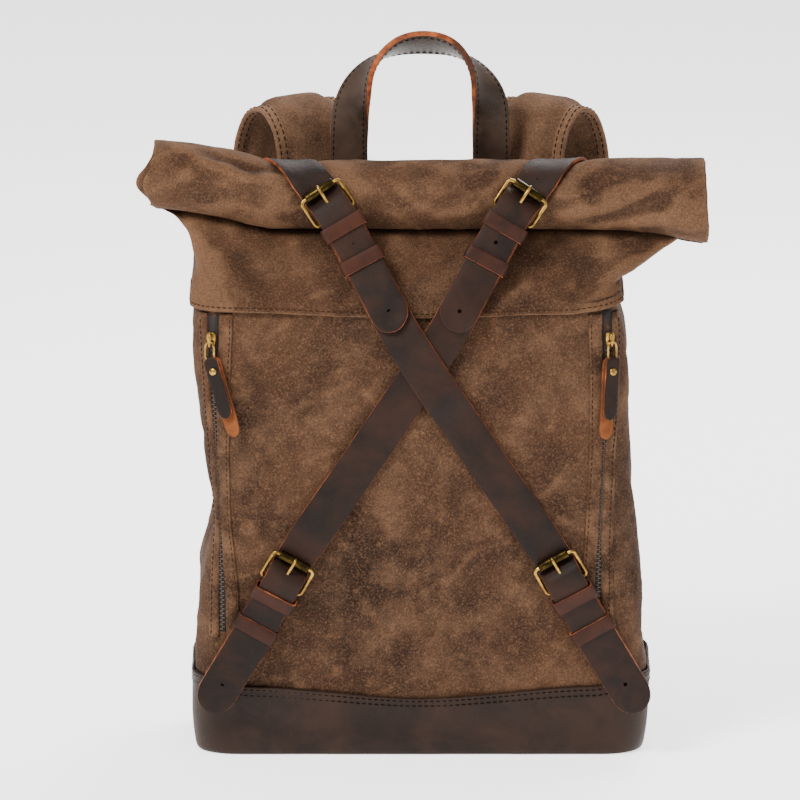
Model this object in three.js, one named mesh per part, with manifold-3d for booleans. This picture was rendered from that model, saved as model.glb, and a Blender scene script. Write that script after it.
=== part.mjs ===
// Canvas backpack with a rolled top, crossing leather straps and a leather base.
// Millimetres, Z up, the front faces -Y, X to the right as seen from the front.
// The origin is the middle of the flat underside of the base.
import * as THREE from "three";
import { mergeVertices } from "three/addons/utils/BufferGeometryUtils.js";
import Module from "manifold-3d";

// Sizes of the bag
const HALF_WIDTH = 150;
const HALF_DEPTH = 60;
const CORNER = 24;
const CANVAS = 1.6;
const LEATHER = 2.6;
const GAP = 0.4;

// The leather base and the lower tube that stands in it
const BASE_HEIGHT = 46;
const BASE_WALL = 2;
const FLOOR_CLEAR = 1.2;
const BODY_BOTTOM = BASE_WALL + FLOOR_CLEAR;
const SEAM_Z = 297;
const HEM_LAP = 8;
const HEM_Z = SEAM_Z - HEM_LAP;

// The roll: its axis, radius, how much a turn tightens, and where its ends lie
const ROLL_Y = -12;
const ROLL_RISE = 69.6;
const ROLL_Z = SEAM_Z + ROLL_RISE;
const ROLL_RADIUS = 24.8;
const ROLL_PITCH = 7.6;
const ROLL_START = -62;
const ROLL_TURNS = 2.2;
const ROLL_OUTER_STEPS = 12;
const ROLL_INNER_STEPS = 7;
const ROLL_HALF = 188;
const ROLL_SHIFT = 1;
const ROLL_TUCK = 5.5;
const ROLL_LEFT = ROLL_SHIFT - ROLL_HALF;
const ROLL_RIGHT = ROLL_SHIFT + ROLL_HALF;
const LIP_DEPTH = 5.6;
const CREASE_Z = ROLL_Z - 0.855 * ROLL_RADIUS;

// Straps, keepers and buckles
const STRAP_WIDTH = 26;
const CROSS_X = 2;
const CROSS_DROP = 36;
const CROSS_Z = SEAM_Z - CROSS_DROP;
const FREE_WIDTH = STRAP_WIDTH - 1;
const FOLD_WIDTH = STRAP_WIDTH - 3.4;
const WIRE = 2.4;
const ROLLER_RADIUS = 3;
const ROLLER_LENGTH = STRAP_WIDTH - 6;
const FRAME_HALF = STRAP_WIDTH / 2 + 1.7;
const FRAME_CORNER = 2.2;
const HEEL_DISTANCE = 19;
const TONGUE_RADIUS = 1;
const KEEPER_BAND = 9.5;
const KEEPER_WALL = 1.5;
const KEEPER_CLEAR = 0.45;
const NEAR_CLEAR = 0.6;
const HEEL_GAP = 4.6;
const KEEPER_SPACING = 25;
const HOLE_RADIUS = 1.8;

// Handle, shoulder straps and their webbing
const HANDLE_HALF = 47;
const HANDLE_FOOT_Z = SEAM_Z + 4;
const HANDLE_RISE = 157;
const HANDLE_WIDTH = 25;
const HANDLE_THICK = 4.4;
const PAD_WIDTH = 60;
const PAD_THICK = 9;
const WEBBING_WIDTH = 25;
const WEBBING_THICK = 1.8;
const ADJUSTER_WALL = 2.2;
const ADJUSTER_LENGTH = 11;

// Zips, their plackets and pulls
const ZIP_MIDDLE = { left: -0.907 * HALF_WIDTH, right: 0.813 * HALF_WIDTH };
const ZIP_SPREAD = 6;
const ZIP_TOP = SEAM_Z - 14;
const ZIP_BOTTOM = 84;
const ZIP_WIDTH = 7;
const TAPE_THICK = 0.7;
const PLACKET_WIDTH = 9;
const PLACKET_THICK = 0.8;
const SKIN_GAP = 0.5;
const SLIDER_Z = ZIP_TOP - 11;
const SLIDER_STAND = 2.2;
const SLIDER_DEPTH = 3;
const RING_HALF = 3;
const RING_LONG = 5.6;
const RING_DROP = 11;
const RING_HEIGHT = 4.6;
const RING_WIRE = 0.7;
const PULL_WIDTH = 9.4;
const PULL_NECK = 3;
const PULL_THICK = 1.8;
const PULL_BACK = 2.2;
const PULL_FRONT = 6.6;
const PULL_LEAN = 0.07;
const PULL_DROP = RING_DROP + RING_LONG + 6;
const PULL_STAND = 0.6;
const RIVET_Y = -2;
const RIVET_RADIUS = 1.1;

// Rows of the lower tube, outside of the canvas, as shares of the bag's sizes.
const BODY_ROWS = table(
  {
    z: [SEAM_Z - BODY_BOTTOM, BODY_BOTTOM],
    left: [HALF_WIDTH],
    right: [HALF_WIDTH],
    front: [HALF_DEPTH],
    back: [HALF_DEPTH],
    round: [CORNER],
  },
  [
    [0, -0.957, 0.947, -0.908, 0.908, 0.875],
    [0.05, -0.979, 0.967, -0.947, 0.947, 0.917],
    [0.125, -0.983, 0.98, -0.967, 0.967, 0.958],
    [0.18, -0.993, 0.991, -1.007, 0.977, 1],
    [0.234, -0.991, 0.973, -1.033, 0.983, 1],
    [0.37, -0.969, 0.973, -1.07, 0.993, 1.04],
    [0.445, -0.943, 0.957, -1.077, 0.99, 1.08],
    [0.523, -0.916, 0.94, -1.077, 0.983, 1.08],
    [0.602, -0.931, 0.927, -1.07, 0.973, 1.08],
    [0.687, -0.953, 0.917, -1.057, 0.96, 1.04],
    [0.772, -0.98, 0.913, -1.037, 0.943, 1],
    [0.86, -1, 0.907, -1.013, 0.923, 0.96],
    [0.935, -1.004, 0.896, -0.987, 0.9, 0.92],
    [0.969, -0.997, 0.876, -0.967, 0.883, 0.875],
    [0.993, -0.992, 0.864, -0.95, 0.867, 0.83],
  ],
);

// Rows of the upper tube from its hem to the crease under the roll: front and back lines climb.
const COLLAR_ROWS = table(
  {
    frontY: [HALF_DEPTH],
    frontZ: [CREASE_Z - HEM_Z, HEM_Z],
    backY: [HALF_DEPTH],
    backZ: [CREASE_Z - HEM_Z, HEM_Z],
    left: [HALF_WIDTH],
    right: [HALF_WIDTH],
    round: [CORNER],
  },
  [
    [-1.003, 0, 0.917, 0, -1.011, 0.891, 0.917],
    [-0.99, 0.142, 0.9, 0.142, -1.008, 0.88, 0.917],
    [-0.91, 0.301, 0.85, 0.301, -1.004, 0.877, 0.9],
    [-0.777, 0.479, 0.76, 0.479, -1.001, 0.883, 0.79],
    [-0.623, 0.656, 0.633, 0.656, -1.011, 0.907, 0.667],
    [-0.467, 0.816, 0.483, 0.816, -1.047, 0.967, 0.5],
    [-0.293, 0.933, 0.317, 0.922, -1.113, 1.067, 0.292],
    [-0.133, 1, 0.15, 0.965, -1.187, 1.173, 0.142],
  ],
);

// How the roll rises and swells along its length.
const SAG_ROWS = table(
  { x: [ROLL_HALF], rise: [ROLL_RADIUS], swell: [1] },
  [
    [-1.01, 0.629, 1.0],
    [-0.8, 0.379, 1.02],
    [-0.585, 0.169, 1.03],
    [-0.266, 0.032, 1.0],
    [0, 0, 0.99],
    [0.372, 0.016, 1.01],
    [0.69, 0.016, 1.06],
    [1.02, -0.081, 1.18],
  ],
);

// Soft folds of each face: a line from a0,z0 to a1,z1, its half width and its height outwards.
function foldTable(half, foot, top, rows) {
  const height = [top - foot, foot];
  const units = { a0: [half], z0: height, a1: [half], z1: height, width: [HALF_DEPTH], height: [HALF_DEPTH] };
  return table(units, rows);
}
const BODY_FOLDS = {
  front: foldTable(HALF_WIDTH, 0, SEAM_Z, [
    [0, 0.505, 0, 0.64, 1.167, 0.057],
    [-0.653, 0.842, -0.533, 0.626, 0.217, -0.03],
    [-0.6, 0.397, -0.693, 0.283, 0.2, -0.023],
    [0.64, 0.822, 0.467, 0.694, 0.2, -0.027],
    [0.613, 0.377, 0.48, 0.505, 0.217, -0.027],
    [-0.4, 0.963, 0.267, 0.943, 0.167, -0.02],
  ]),
  left: foldTable(HALF_DEPTH, 0, SEAM_Z, [
    [0.333, 0.882, -0.633, 0.781, 0.2, -0.04],
    [0.5, 0.66, -0.5, 0.532, 0.25, -0.07],
    [0.567, 0.397, -0.4, 0.465, 0.2, 0.037],
    [0, 0.236, 0.667, 0.323, 0.2, -0.027],
  ]),
  right: foldTable(HALF_DEPTH, 0, SEAM_Z, [
    [0.4, 0.848, -0.567, 0.761, 0.2, -0.037],
    [0.5, 0.505, -0.5, 0.626, 0.233, -0.043],
    [-0.5, 0.236, 0.333, 0.242, 0.15, -0.04],
  ]),
  back: foldTable(HALF_WIDTH, 0, SEAM_Z, [
    [-0.4, 0.707, 0.333, 0.761, 0.333, -0.037],
    [0.267, 0.37, -0.333, 0.323, 0.333, -0.037],
  ]),
};
const COLLAR_FOLDS = {
  front: foldTable(HALF_WIDTH, HEM_Z, CREASE_Z, [
    [-0.933, 0.869, -0.707, 0.479, 0.15, -0.033],
    [-0.56, 0.798, -0.467, 0.408, 0.183, 0.023],
    [0.133, 0.798, -0.04, 0.443, 0.2, -0.02],
    [0.64, 0.762, 0.787, 0.337, 0.167, -0.037],
    [0.4, 0.727, 0.467, 0.372, 0.167, 0.02],
  ]),
  back: foldTable(HALF_WIDTH, HEM_Z, CREASE_Z, [
    [-0.533, 0.656, -0.4, 0.301, 0.2, -0.023],
    [0.6, 0.656, 0.467, 0.301, 0.2, -0.023],
  ]),
};
const ROLL_FOLDS = table(
  { x0: [ROLL_HALF], turn0: [1], x1: [ROLL_HALF], turn1: [1], width: [ROLL_RADIUS], height: [ROLL_RADIUS] },
  [
    [-0.83, 150, -0.49, 118, 0.28, 0.089],
    [-0.8, 205, -0.51, 160, 0.32, -0.065],
    [-0.16, 120, 0.213, 140, 0.565, -0.048],
    [0.585, 150, 0.894, 96, 0.484, -0.073],
    [0.638, 205, 0.915, 160, 0.484, 0.065],
  ],
);

// Rows of the leather base, outside.
const BASE_ROWS = table(
  {
    z: [BASE_HEIGHT],
    left: [HALF_WIDTH],
    right: [HALF_WIDTH],
    front: [HALF_DEPTH],
    back: [HALF_DEPTH],
    round: [CORNER],
  },
  [
    [0, -0.933, 0.923, -0.85, 0.85, 0.75],
    [0.052, -0.977, 0.965, -0.95, 0.95, 0.917],
    [0.196, -0.996, 0.987, -0.99, 0.99, 0.958],
    [0.478, -1.005, 1, -1.01, 1.01, 1],
    [0.804, -1.004, 1.004, -1.02, 1.017, 1.04],
    [1, -1.005, 1.005, -1.03, 1.023, 1.06],
  ],
);

// Strap line below the crossing, above it, over the roll and down the back: its distance to the side.
const LOWER_LINE = table(
  { side: [HALF_WIDTH], z: [CROSS_Z] },
  [
    [0.96, 0.119],
    [0.767, 0.307],
    [0.68, 0.395],
    [0.56, 0.52],
    [0.28, 0.759],
    [0, 1],
  ],
);
const UPPER_LINE = table(
  { side: [HALF_WIDTH], z: [ROLL_Z - CROSS_Z, CROSS_Z], tilt: [1] },
  [
    [0.063, 0.142, 0],
    [0.123, 0.275, 0.09],
    [0.16, 0.369, 0.6],
    [0.263, 0.625, 1],
    [0.36, 0.862, 1],
  ],
);
const OVER_ROLL_LINE = table(
  { turn: [1], side: [HALF_WIDTH] },
  [
    [160, 0.457],
    [140, 0.493],
    [115, 0.533],
    [90, 0.573],
    [65, 0.607],
    [40, 0.637],
  ],
);
const DOWN_BACK_LINE = table(
  { side: [HALF_WIDTH], y: [HALF_DEPTH], z: [ROLL_Z], turn: [1] },
  [
    [0.68, 0.517, 0.938, 33],
    [0.72, 0.883, 0.843, 20],
    [0.733, 0.92, 0.791, 0],
  ],
);

// Line of the shoulder strap's middle, for the right side, and its width turning.
const PAD_LINE = table(
  { x: [HALF_WIDTH], y: [HALF_DEPTH], z: [ROLL_Z], yaw: [1] },
  [
    [0.4, 0.963, 0.704, 0],
    [0.4, 0.97, 0.753, 0],
    [0.4, 1.083, 0.81, 0],
    [0.413, 1.1, 0.927, 14],
    [0.453, 1.133, 1.02, 26],
    [0.5, 1.233, 1.08, 33],
    [0.56, 1.433, 1.106, 36],
    [0.62, 1.65, 1.094, 36],
    [0.667, 1.817, 1.047, 34],
    [0.7, 1.917, 0.955, 30],
    [0.727, 1.95, 0.818, 24],
    [0.76, 1.9, 0.655, 18],
    [0.793, 1.783, 0.505, 10],
    [0.833, 1.6, 0.371, 2],
    [0.86, 1.467, 0.306, 0],
  ],
);

// Lower webbing: from a tab at the side seam up through the adjuster to the pad.
const WEBBING_LINE = table(
  { x: [HALF_WIDTH], y: [HALF_DEPTH], z: [ROLL_Z] },
  [
    [0.927, 0.988, 0.145],
    [0.927, 1.05, 0.18],
    [0.907, 1.19, 0.235],
    [0.877, 1.32, 0.284],
    [0.86, 1.403, 0.322],
  ],
);

// Line of the carry handle's middle and how far its width has turned from flat to the front.
const HANDLE_LINE = table(
  { x: [HANDLE_HALF], y: [HALF_DEPTH], z: [HANDLE_RISE, HANDLE_FOOT_Z], turn: [1] },
  [
    [-0.936, 0.953, 0, 0],
    [-0.957, 0.95, 0.185, 0],
    [-1, 0.917, 0.389, 0],
    [-1.01, 0.85, 0.58, 6],
    [-0.936, 0.79, 0.758, 34],
    [-0.68, 0.743, 0.904, 84],
    [-0.32, 0.727, 0.981, 120],
    [0.043, 0.723, 1, 130],
    [0.404, 0.73, 0.978, 120],
    [0.723, 0.75, 0.898, 84],
    [0.945, 0.793, 0.758, 34],
    [0.991, 0.85, 0.58, 6],
    [0.987, 0.917, 0.389, 0],
    [0.957, 0.95, 0.185, 0],
    [0.936, 0.953, 0, 0],
  ],
);

// A table's rows as objects: each number is a share of its column's size, from that column's start.
function table(columns, rows) {
  const names = Object.keys(columns);
  return rows.map((row) => {
    const entries = names.map((name, i) => {
      const [size, start = 0] = columns[name];
      return [name, start + row[i] * size];
    });
    return Object.fromEntries(entries);
  });
}

function v3(x, y, z) {
  return new THREE.Vector3(x, y, z);
}

function mix(a, b, t) {
  return a + (b - a) * t;
}

function smooth(t) {
  const c = Math.min(1, Math.max(0, t));
  return c * c * (3 - 2 * c);
}

// The row of a table at a value of its key column, with the other columns in between.
function rowAt(rows, key, value) {
  const rising = rows[rows.length - 1][key] > rows[0][key];
  const before = (a, b) => (rising ? a <= b : a >= b);
  let i = 0;
  while (i < rows.length - 2 && before(rows[i + 1][key], value)) i += 1;
  const a = rows[i];
  const b = rows[i + 1];
  const t = Math.min(1, Math.max(0, (value - a[key]) / (b[key] - a[key])));
  const out = {};
  for (const name of Object.keys(a)) out[name] = mix(a[name], b[name], t);
  return out;
}

function radians(degrees) {
  return (degrees * Math.PI) / 180;
}

// Closed solids
function geometryOf(points, faces) {
  const geometry = new THREE.BufferGeometry();
  const numbers = points.flatMap((p) => [p.x, p.y, p.z]);
  geometry.setAttribute("position", new THREE.Float32BufferAttribute(numbers, 3));
  geometry.setIndex(faces);
  return geometry;
}

function bandFaces(faces, from, to, count) {
  for (let j = 0; j < count; j += 1) {
    const k = (j + 1) % count;
    faces.push(from + j, from + k, to + k, from + j, to + k, to + j);
  }
}

// Closed sections, anticlockwise about the way ahead, joined and capped at both ends.
function capped(sections) {
  const count = sections[0].length;
  const points = sections.flat();
  const faces = [];
  for (let i = 0; i + 1 < sections.length; i += 1) bandFaces(faces, i * count, (i + 1) * count, count);
  const middle = (ring) => ring.reduce((sum, p) => sum.add(p), v3(0, 0, 0)).divideScalar(count);
  const first = points.push(middle(sections[0])) - 1;
  const last = points.push(middle(sections[sections.length - 1])) - 1;
  const top = (sections.length - 1) * count;
  for (let j = 0; j < count; j += 1) {
    const k = (j + 1) % count;
    faces.push(first, k, j, last, top + j, top + k);
  }
  return geometryOf(points, faces);
}

// Closed sections joined in a loop, the last to the first.
function looped(sections) {
  const count = sections[0].length;
  const faces = [];
  sections.forEach((_, i) => bandFaces(faces, i * count, ((i + 1) % sections.length) * count, count));
  return geometryOf(sections.flat(), faces);
}

// A wall between rings outside and rings inside, open at both ends.
function tube(outside, inside) {
  return looped([...outside, ...inside.slice().reverse()]);
}

// Rounded rectangle from 0 to depth, front side first, with its outward direction.
const FRONT_STEPS = 7;
const SIDE_STEPS = 2;
const CORNER_STEPS = 3;
function roundedRect(left, right, depth, round, inset) {
  const r = Math.min(round, depth / 2);
  const out = [];
  const corners = [
    [left + r, r, -180],
    [right - r, r, -90],
    [right - r, depth - r, 0],
    [left + r, depth - r, 90],
  ];
  corners.forEach(([cx, cy, from], c) => {
    for (let i = 0; i <= CORNER_STEPS; i += 1) {
      const a = radians(from + (90 * i) / CORNER_STEPS);
      const n = { nx: Math.cos(a), nd: Math.sin(a) };
      out.push({ x: cx + (r - inset) * n.nx, d: cy + (r - inset) * n.nd, ...n });
    }
    const next = corners[(c + 1) % 4];
    const end = radians(next[2]);
    const last = out[out.length - 1];
    const targetX = next[0] + (r - inset) * Math.cos(end);
    const targetD = next[1] + (r - inset) * Math.sin(end);
    const steps = c % 2 === 0 ? FRONT_STEPS : SIDE_STEPS;
    for (let i = 1; i < steps; i += 1) {
      const t = i / steps;
      out.push({ ...last, x: mix(last.x, targetX, t), d: mix(last.d, targetD, t) });
    }
  });
  return out;
}

const FACES = {
  front: { nx: 0, nd: -1, along: (x) => x },
  back: { nx: 0, nd: 1, along: (x) => x },
  left: { nx: -1, nd: 0, along: (x, y) => y },
  right: { nx: 1, nd: 0, along: (x, y) => y },
};

function distanceToLine(a, b, a0, b0, a1, b1) {
  const da = a1 - a0;
  const db = b1 - b0;
  const t = Math.min(1, Math.max(0, ((a - a0) * da + (b - b0) * db) / (da * da + db * db)));
  return Math.hypot(a - a0 - t * da, b - b0 - t * db);
}

// How far the folds push a point of the cloth outwards.
function foldHeight(folds, x, y, z, nx, nd) {
  let sum = 0;
  for (const [name, rows] of Object.entries(folds)) {
    const face = FACES[name];
    const facing = Math.max(0, nx * face.nx + nd * face.nd);
    for (const f of rows) {
      const far = distanceToLine(face.along(x, y), z, f.a0, f.z0, f.a1, f.z1) / f.width;
      sum += f.height * facing * facing * Math.exp(-far * far);
    }
  }
  return sum;
}

function bodyRing(row, inset, folds) {
  return roundedRect(row.left, row.right, row.back - row.front, row.round, inset).map((p) => {
    const y = row.front + p.d;
    const push = foldHeight(folds, p.x, y, row.z, p.nx, p.nd);
    return v3(p.x + p.nx * push, y + p.nd * push, row.z);
  });
}

function canvasBody() {
  const outside = BODY_ROWS.map((row) => bodyRing(row, 0, BODY_FOLDS));
  const inside = BODY_ROWS.map((row) => bodyRing(row, CANVAS, BODY_FOLDS));
  return tube(outside, inside);
}

// Front of the lower tube at a height, folds included, as the straps and zips see it.
function bodyFront(x, z) {
  const row = rowAt(BODY_ROWS, "z", z);
  return row.front - foldHeight(BODY_FOLDS, x, row.front, z, 0, -1);
}

// Roll: the flattened tube goes up the back, over the top, down the front and inwards.
// Its folds begin and end within the outer turn, at these turns past its start, in degrees.
const FOLDS_FROM = 40;
const FOLDS_FADE = 30;
const OUTER_END = 290;
const WIDENS_OVER = 60;
function rollPoint(turn, out, x) {
  const sag = rowAt(SAG_ROWS, "x", x);
  const shrink = (ROLL_PITCH * (turn - ROLL_START)) / 360;
  let fold = 0;
  if (turn < ROLL_START + OUTER_END) {
    const round = (degrees) => radians(degrees) * ROLL_RADIUS;
    for (const f of ROLL_FOLDS) {
      const far = distanceToLine(x, round(turn), f.x0, round(f.turn0), f.x1, round(f.turn1));
      fold += f.height * Math.exp(-((far / f.width) ** 2));
    }
    const begins = smooth((turn - ROLL_START - FOLDS_FROM) / FOLDS_FADE);
    fold *= begins * smooth((ROLL_START + OUTER_END - turn) / FOLDS_FADE);
  }
  const radius = (ROLL_RADIUS - shrink) * sag.swell + out + fold;
  const a = radians(turn);
  return v3(x, ROLL_Y + radius * Math.cos(a), ROLL_Z + sag.rise + radius * Math.sin(a));
}

function collarRing(row, inset, index) {
  const depth = Math.hypot(row.backY - row.frontY, row.backZ - row.frontZ);
  const lift = smooth(index / (COLLAR_ROWS.length - 1));
  return roundedRect(row.left, row.right, depth, row.round, inset).map((p) => {
    const t = p.d / depth;
    const sag = rowAt(SAG_ROWS, "x", p.x);
    const y = mix(row.frontY, row.backY, t);
    const z = mix(row.frontZ, row.backZ, t);
    const push = foldHeight(COLLAR_FOLDS, p.x, y, z, p.nx, p.nd);
    return v3(p.x + p.nx * push, y + p.nd * push, z + sag.rise * lift);
  });
}

function rollRing(turn, inset) {
  const half = LIP_DEPTH / 2;
  const tuck = ROLL_TUCK * (1 - smooth((turn - ROLL_START) / WIDENS_OVER));
  const left = ROLL_LEFT + tuck;
  const right = ROLL_RIGHT - tuck;
  return roundedRect(left, right, LIP_DEPTH, half, inset).map((p) => rollPoint(turn, p.d - half, p.x));
}

function rollTopCollar() {
  const outside = COLLAR_ROWS.map((row, i) => collarRing(row, 0, i));
  const inside = COLLAR_ROWS.map((row, i) => collarRing(row, CANVAS, i));
  const turns = [];
  for (let i = 0; i < ROLL_OUTER_STEPS; i += 1) turns.push((360 * i) / ROLL_OUTER_STEPS);
  for (let i = 0; i <= ROLL_INNER_STEPS; i += 1) turns.push(mix(360, 360 * ROLL_TURNS, i / ROLL_INNER_STEPS));
  for (const turn of turns) {
    outside.push(rollRing(ROLL_START + turn, 0));
    inside.push(rollRing(ROLL_START + turn, CANVAS));
  }
  return tube(outside, inside);
}

function leatherBase() {
  const outside = BASE_ROWS.map((row) => bodyRing(row, 0, {}));
  const raised = BASE_ROWS.slice(1).map((row) => ({ ...row, z: Math.max(row.z, BASE_WALL) }));
  const inner = raised.map((row) => bodyRing(row, BASE_WALL, {}));
  return capped([...outside, ...inner.reverse()]);
}

// The line the straps lie on, seen from the side: up the front, tangent to the roll, over it.
const BASE_FRONT = BASE_ROWS[BASE_ROWS.length - 1].front;
const PLACKET_STAND = SKIN_GAP + PLACKET_THICK + 1.1;
const PLACKET_CROSSING_Z = 164;
const PLACKET_EASE = 26;
const HEM_EASE = 14;
const HEM_FRONT = rowAt(COLLAR_ROWS, "frontZ", SEAM_Z).frontY;
const TOUCH_TURN = OVER_ROLL_LINE[0].turn;
const ROLL_OUT = ROLL_RADIUS + LIP_DEPTH / 2 - (ROLL_PITCH * (TOUCH_TURN - ROLL_START)) / 360;
function tangentTurn(y, z, side) {
  const dy = ROLL_Y - y;
  const dz = ROLL_Z - z;
  const lean = Math.asin(ROLL_OUT / Math.hypot(dy, dz));
  return (Math.atan2(dz, dy) * 180) / Math.PI + side * (90 + (lean * 180) / Math.PI);
}
const FRONT_TURN = tangentTurn(HEM_FRONT, SEAM_Z, 1);
const FRONT_TOP_Y = ROLL_Y + ROLL_OUT * Math.cos(radians(FRONT_TURN));
const FRONT_TOP_Z = ROLL_Z + ROLL_OUT * Math.sin(radians(FRONT_TURN));

// Depth of the supporting line below the roll.
function frontLine(x, z) {
  const easeFrom = HEM_Z - HEM_EASE;
  if (z >= FRONT_TOP_Z) return FRONT_TOP_Y;
  if (z > SEAM_Z) return mix(HEM_FRONT, FRONT_TOP_Y, (z - SEAM_Z) / (FRONT_TOP_Z - SEAM_Z));
  if (z > easeFrom) {
    const below = Math.min(bodyFront(x, easeFrom), BASE_FRONT);
    return mix(below, HEM_FRONT, smooth((z - easeFrom) / (HEM_EASE + 2)));
  }
  const stand = PLACKET_STAND * smooth((PLACKET_CROSSING_Z - z) / PLACKET_EASE);
  return Math.min(bodyFront(x, z), BASE_FRONT) - stand;
}

// One supporting line: side is -1 for the line that starts over the left shoulder.
function strapLine(side) {
  const stations = [];
  const toFront = v3(0, -1, 0);
  const slope = v3(0, Math.cos(radians(FRONT_TURN)), Math.sin(radians(FRONT_TURN)));
  const turned = (turn) => v3(0, Math.cos(radians(turn)), Math.sin(radians(turn)));
  const onFront = (way, row, n) => {
    const x = CROSS_X + way * row.side;
    stations.push({ p: v3(x, frontLine(x, row.z), row.z), n });
  };
  for (const row of LOWER_LINE) onFront(-side, row, toFront);
  for (const row of UPPER_LINE) onFront(side, row, toFront.clone().lerp(slope, row.tilt).normalize());
  for (const row of OVER_ROLL_LINE) {
    const p = rollPoint(row.turn, LIP_DEPTH / 2, CROSS_X + side * row.side);
    stations.push({ p, n: turned(row.turn) });
  }
  for (const row of DOWN_BACK_LINE) {
    stations.push({ p: v3(CROSS_X + side * row.side, row.y, row.z), n: turned(row.turn) });
  }
  return pathOf(stations);
}

// A smooth path through stations, asked for by distance from its crossing point.
const PATH_STEPS = 600;
function pathOf(stations) {
  const curve = new THREE.CatmullRomCurve3(stations.map((s) => s.p), false, "centripetal");
  const steps = PATH_STEPS;
  const marks = curve.getPoints(steps);
  const lengths = [0];
  for (let i = 1; i <= steps; i += 1) lengths.push(lengths[i - 1] + marks[i].distanceTo(marks[i - 1]));
  const zero = lengths[marks.findIndex((p) => p.z >= CROSS_Z)];
  const frame = (s) => {
    const want = Math.min(lengths[steps], Math.max(0, s + zero));
    let i = 1;
    while (i < steps && lengths[i] < want) i += 1;
    const f = (want - lengths[i - 1]) / (lengths[i] - lengths[i - 1]);
    const t = (i - 1 + f) / steps;
    const station = t * (stations.length - 1);
    const k = Math.min(stations.length - 2, Math.floor(station));
    const ahead = curve.getTangent(t);
    const rough = stations[k].n.clone().lerp(stations[k + 1].n, station - k);
    const out = rough.addScaledVector(ahead, -rough.dot(ahead)).normalize();
    return { p: curve.getPoint(t), ahead, out, across: new THREE.Vector3().crossVectors(ahead, out) };
  };
  return { frame, start: -zero, end: lengths[steps] - zero };
}

// A flat section: its corners from the outer left one, anticlockwise about the way ahead.
function flatSection(p, across, out, width, thick) {
  return [
    [-1, 1],
    [1, 1],
    [1, -1],
    [-1, -1],
  ].map(([a, b]) => p.clone().addScaledVector(across, (a * width) / 2).addScaledVector(out, (b * thick) / 2));
}

// A flat strap along a path: rows of distance, height above the path and width, in order.
function strap(path, rows) {
  const centres = rows.map((r) => {
    const f = path.frame(r.s);
    return f.p.clone().addScaledVector(f.out, r.h);
  });
  return capped(
    rows.map((r, i) => {
      const across = path.frame(r.s).across;
      const before = centres[Math.max(0, i - 1)];
      const after = centres[Math.min(rows.length - 1, i + 1)];
      const out = new THREE.Vector3().crossVectors(across, after.clone().sub(before)).normalize();
      return flatSection(centres[i], across, out, r.w, LEATHER);
    }),
  );
}

// Heights of the layers of a strap stack, from the supporting line to the middle of each strap.
const LAYER_AIR = 0.6;
const RESTING = GAP + LEATHER / 2;
const LOW_LAYER = RESTING + KEEPER_WALL + KEEPER_CLEAR;
const HIGH_LAYER = LOW_LAYER + LEATHER + LAYER_AIR;
const UNDER_ROLLER = RESTING + 0.2;
const TOP_HEEL = 2.2;
const BOTTOM_HEEL = 2 * GAP + LEATHER + WIRE / 2 + 0.3;
const FOLD_OUT = WIRE / 2 + GAP + LEATHER / 2;

// Where each buckle's roller sits along its supporting line.
const lines = { left: strapLine(-1), right: strapLine(1) };
function distanceAt(path, z) {
  let s = 0;
  const step = z > CROSS_Z ? 1 : -1;
  while ((path.frame(s).p.z - z) * step < 0) s += step * 0.5;
  return s;
}
const TOP_ROLLER = distanceAt(lines.left, ROLL_Z + 0.238 * ROLL_RADIUS);
const BOTTOM_ROLLER = distanceAt(lines.left, 0.515 * CROSS_Z);

// Tip rows of a rounded strap end, from full width to a narrow nose. dir is the way to the nose.
const NOSE_WIDTH = 5;
function tipRows(s, h, dir, length) {
  const width = (t) => Math.max(NOSE_WIDTH, STRAP_WIDTH * Math.sqrt(1 - t ** 2.4));
  return [0.35, 0.62, 0.82, 0.95, 1].map((t) => ({ s: s + dir * length * t, h, w: width(t) }));
}

// Height of the main strap at a distance below the heel bar it is folded round.
const SETTLES_OVER = 18;
function belowHeel(heel, far) {
  return mix(heel + FOLD_OUT, LOW_LAYER, smooth(far / SETTLES_OVER));
}
const BELOW_STEPS = [0, 4, 8, 12, 16, 21];
const STACK_END = BELOW_STEPS[BELOW_STEPS.length - 1] + 5;

// Rows of the free end through a buckle: under the roller, over the heel and along the layer below.
function throughBuckle(roller, heel) {
  const above = (far) => belowHeel(heel, far) + HIGH_LAYER - LOW_LAYER;
  const over = above(0);
  const w = FREE_WIDTH;
  const climb = HEEL_DISTANCE - WIRE;
  return [
    { s: roller + 2 * ROLLER_RADIUS, h: UNDER_ROLLER, w },
    { s: roller - ROLLER_RADIUS - 1, h: UNDER_ROLLER, w },
    { s: roller - climb * 0.54, h: mix(UNDER_ROLLER, over, 0.42), w },
    { s: roller - climb * 0.87, h: over - GAP, w },
    ...BELOW_STEPS.map((far) => ({ s: roller - HEEL_DISTANCE - far, h: above(far), w })),
  ];
}

// Near the crossing the strap that starts over the left shoulder rises over the other one.
const CROSSING_HALF = 50;
const CROSSING_EASE = 22;
function crossingRise(s, over) {
  return over ? (LEATHER + GAP + 0.5) * smooth((CROSSING_HALF - Math.abs(s)) / CROSSING_EASE) : 0;
}

// Even rows between two distances, each at its own height.
function evenRows(from, to, count, height) {
  return Array.from({ length: count + 1 }, (_, i) => {
    const s = mix(from, to, i / count);
    return { s, h: height(s), w: STRAP_WIDTH };
  });
}

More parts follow.
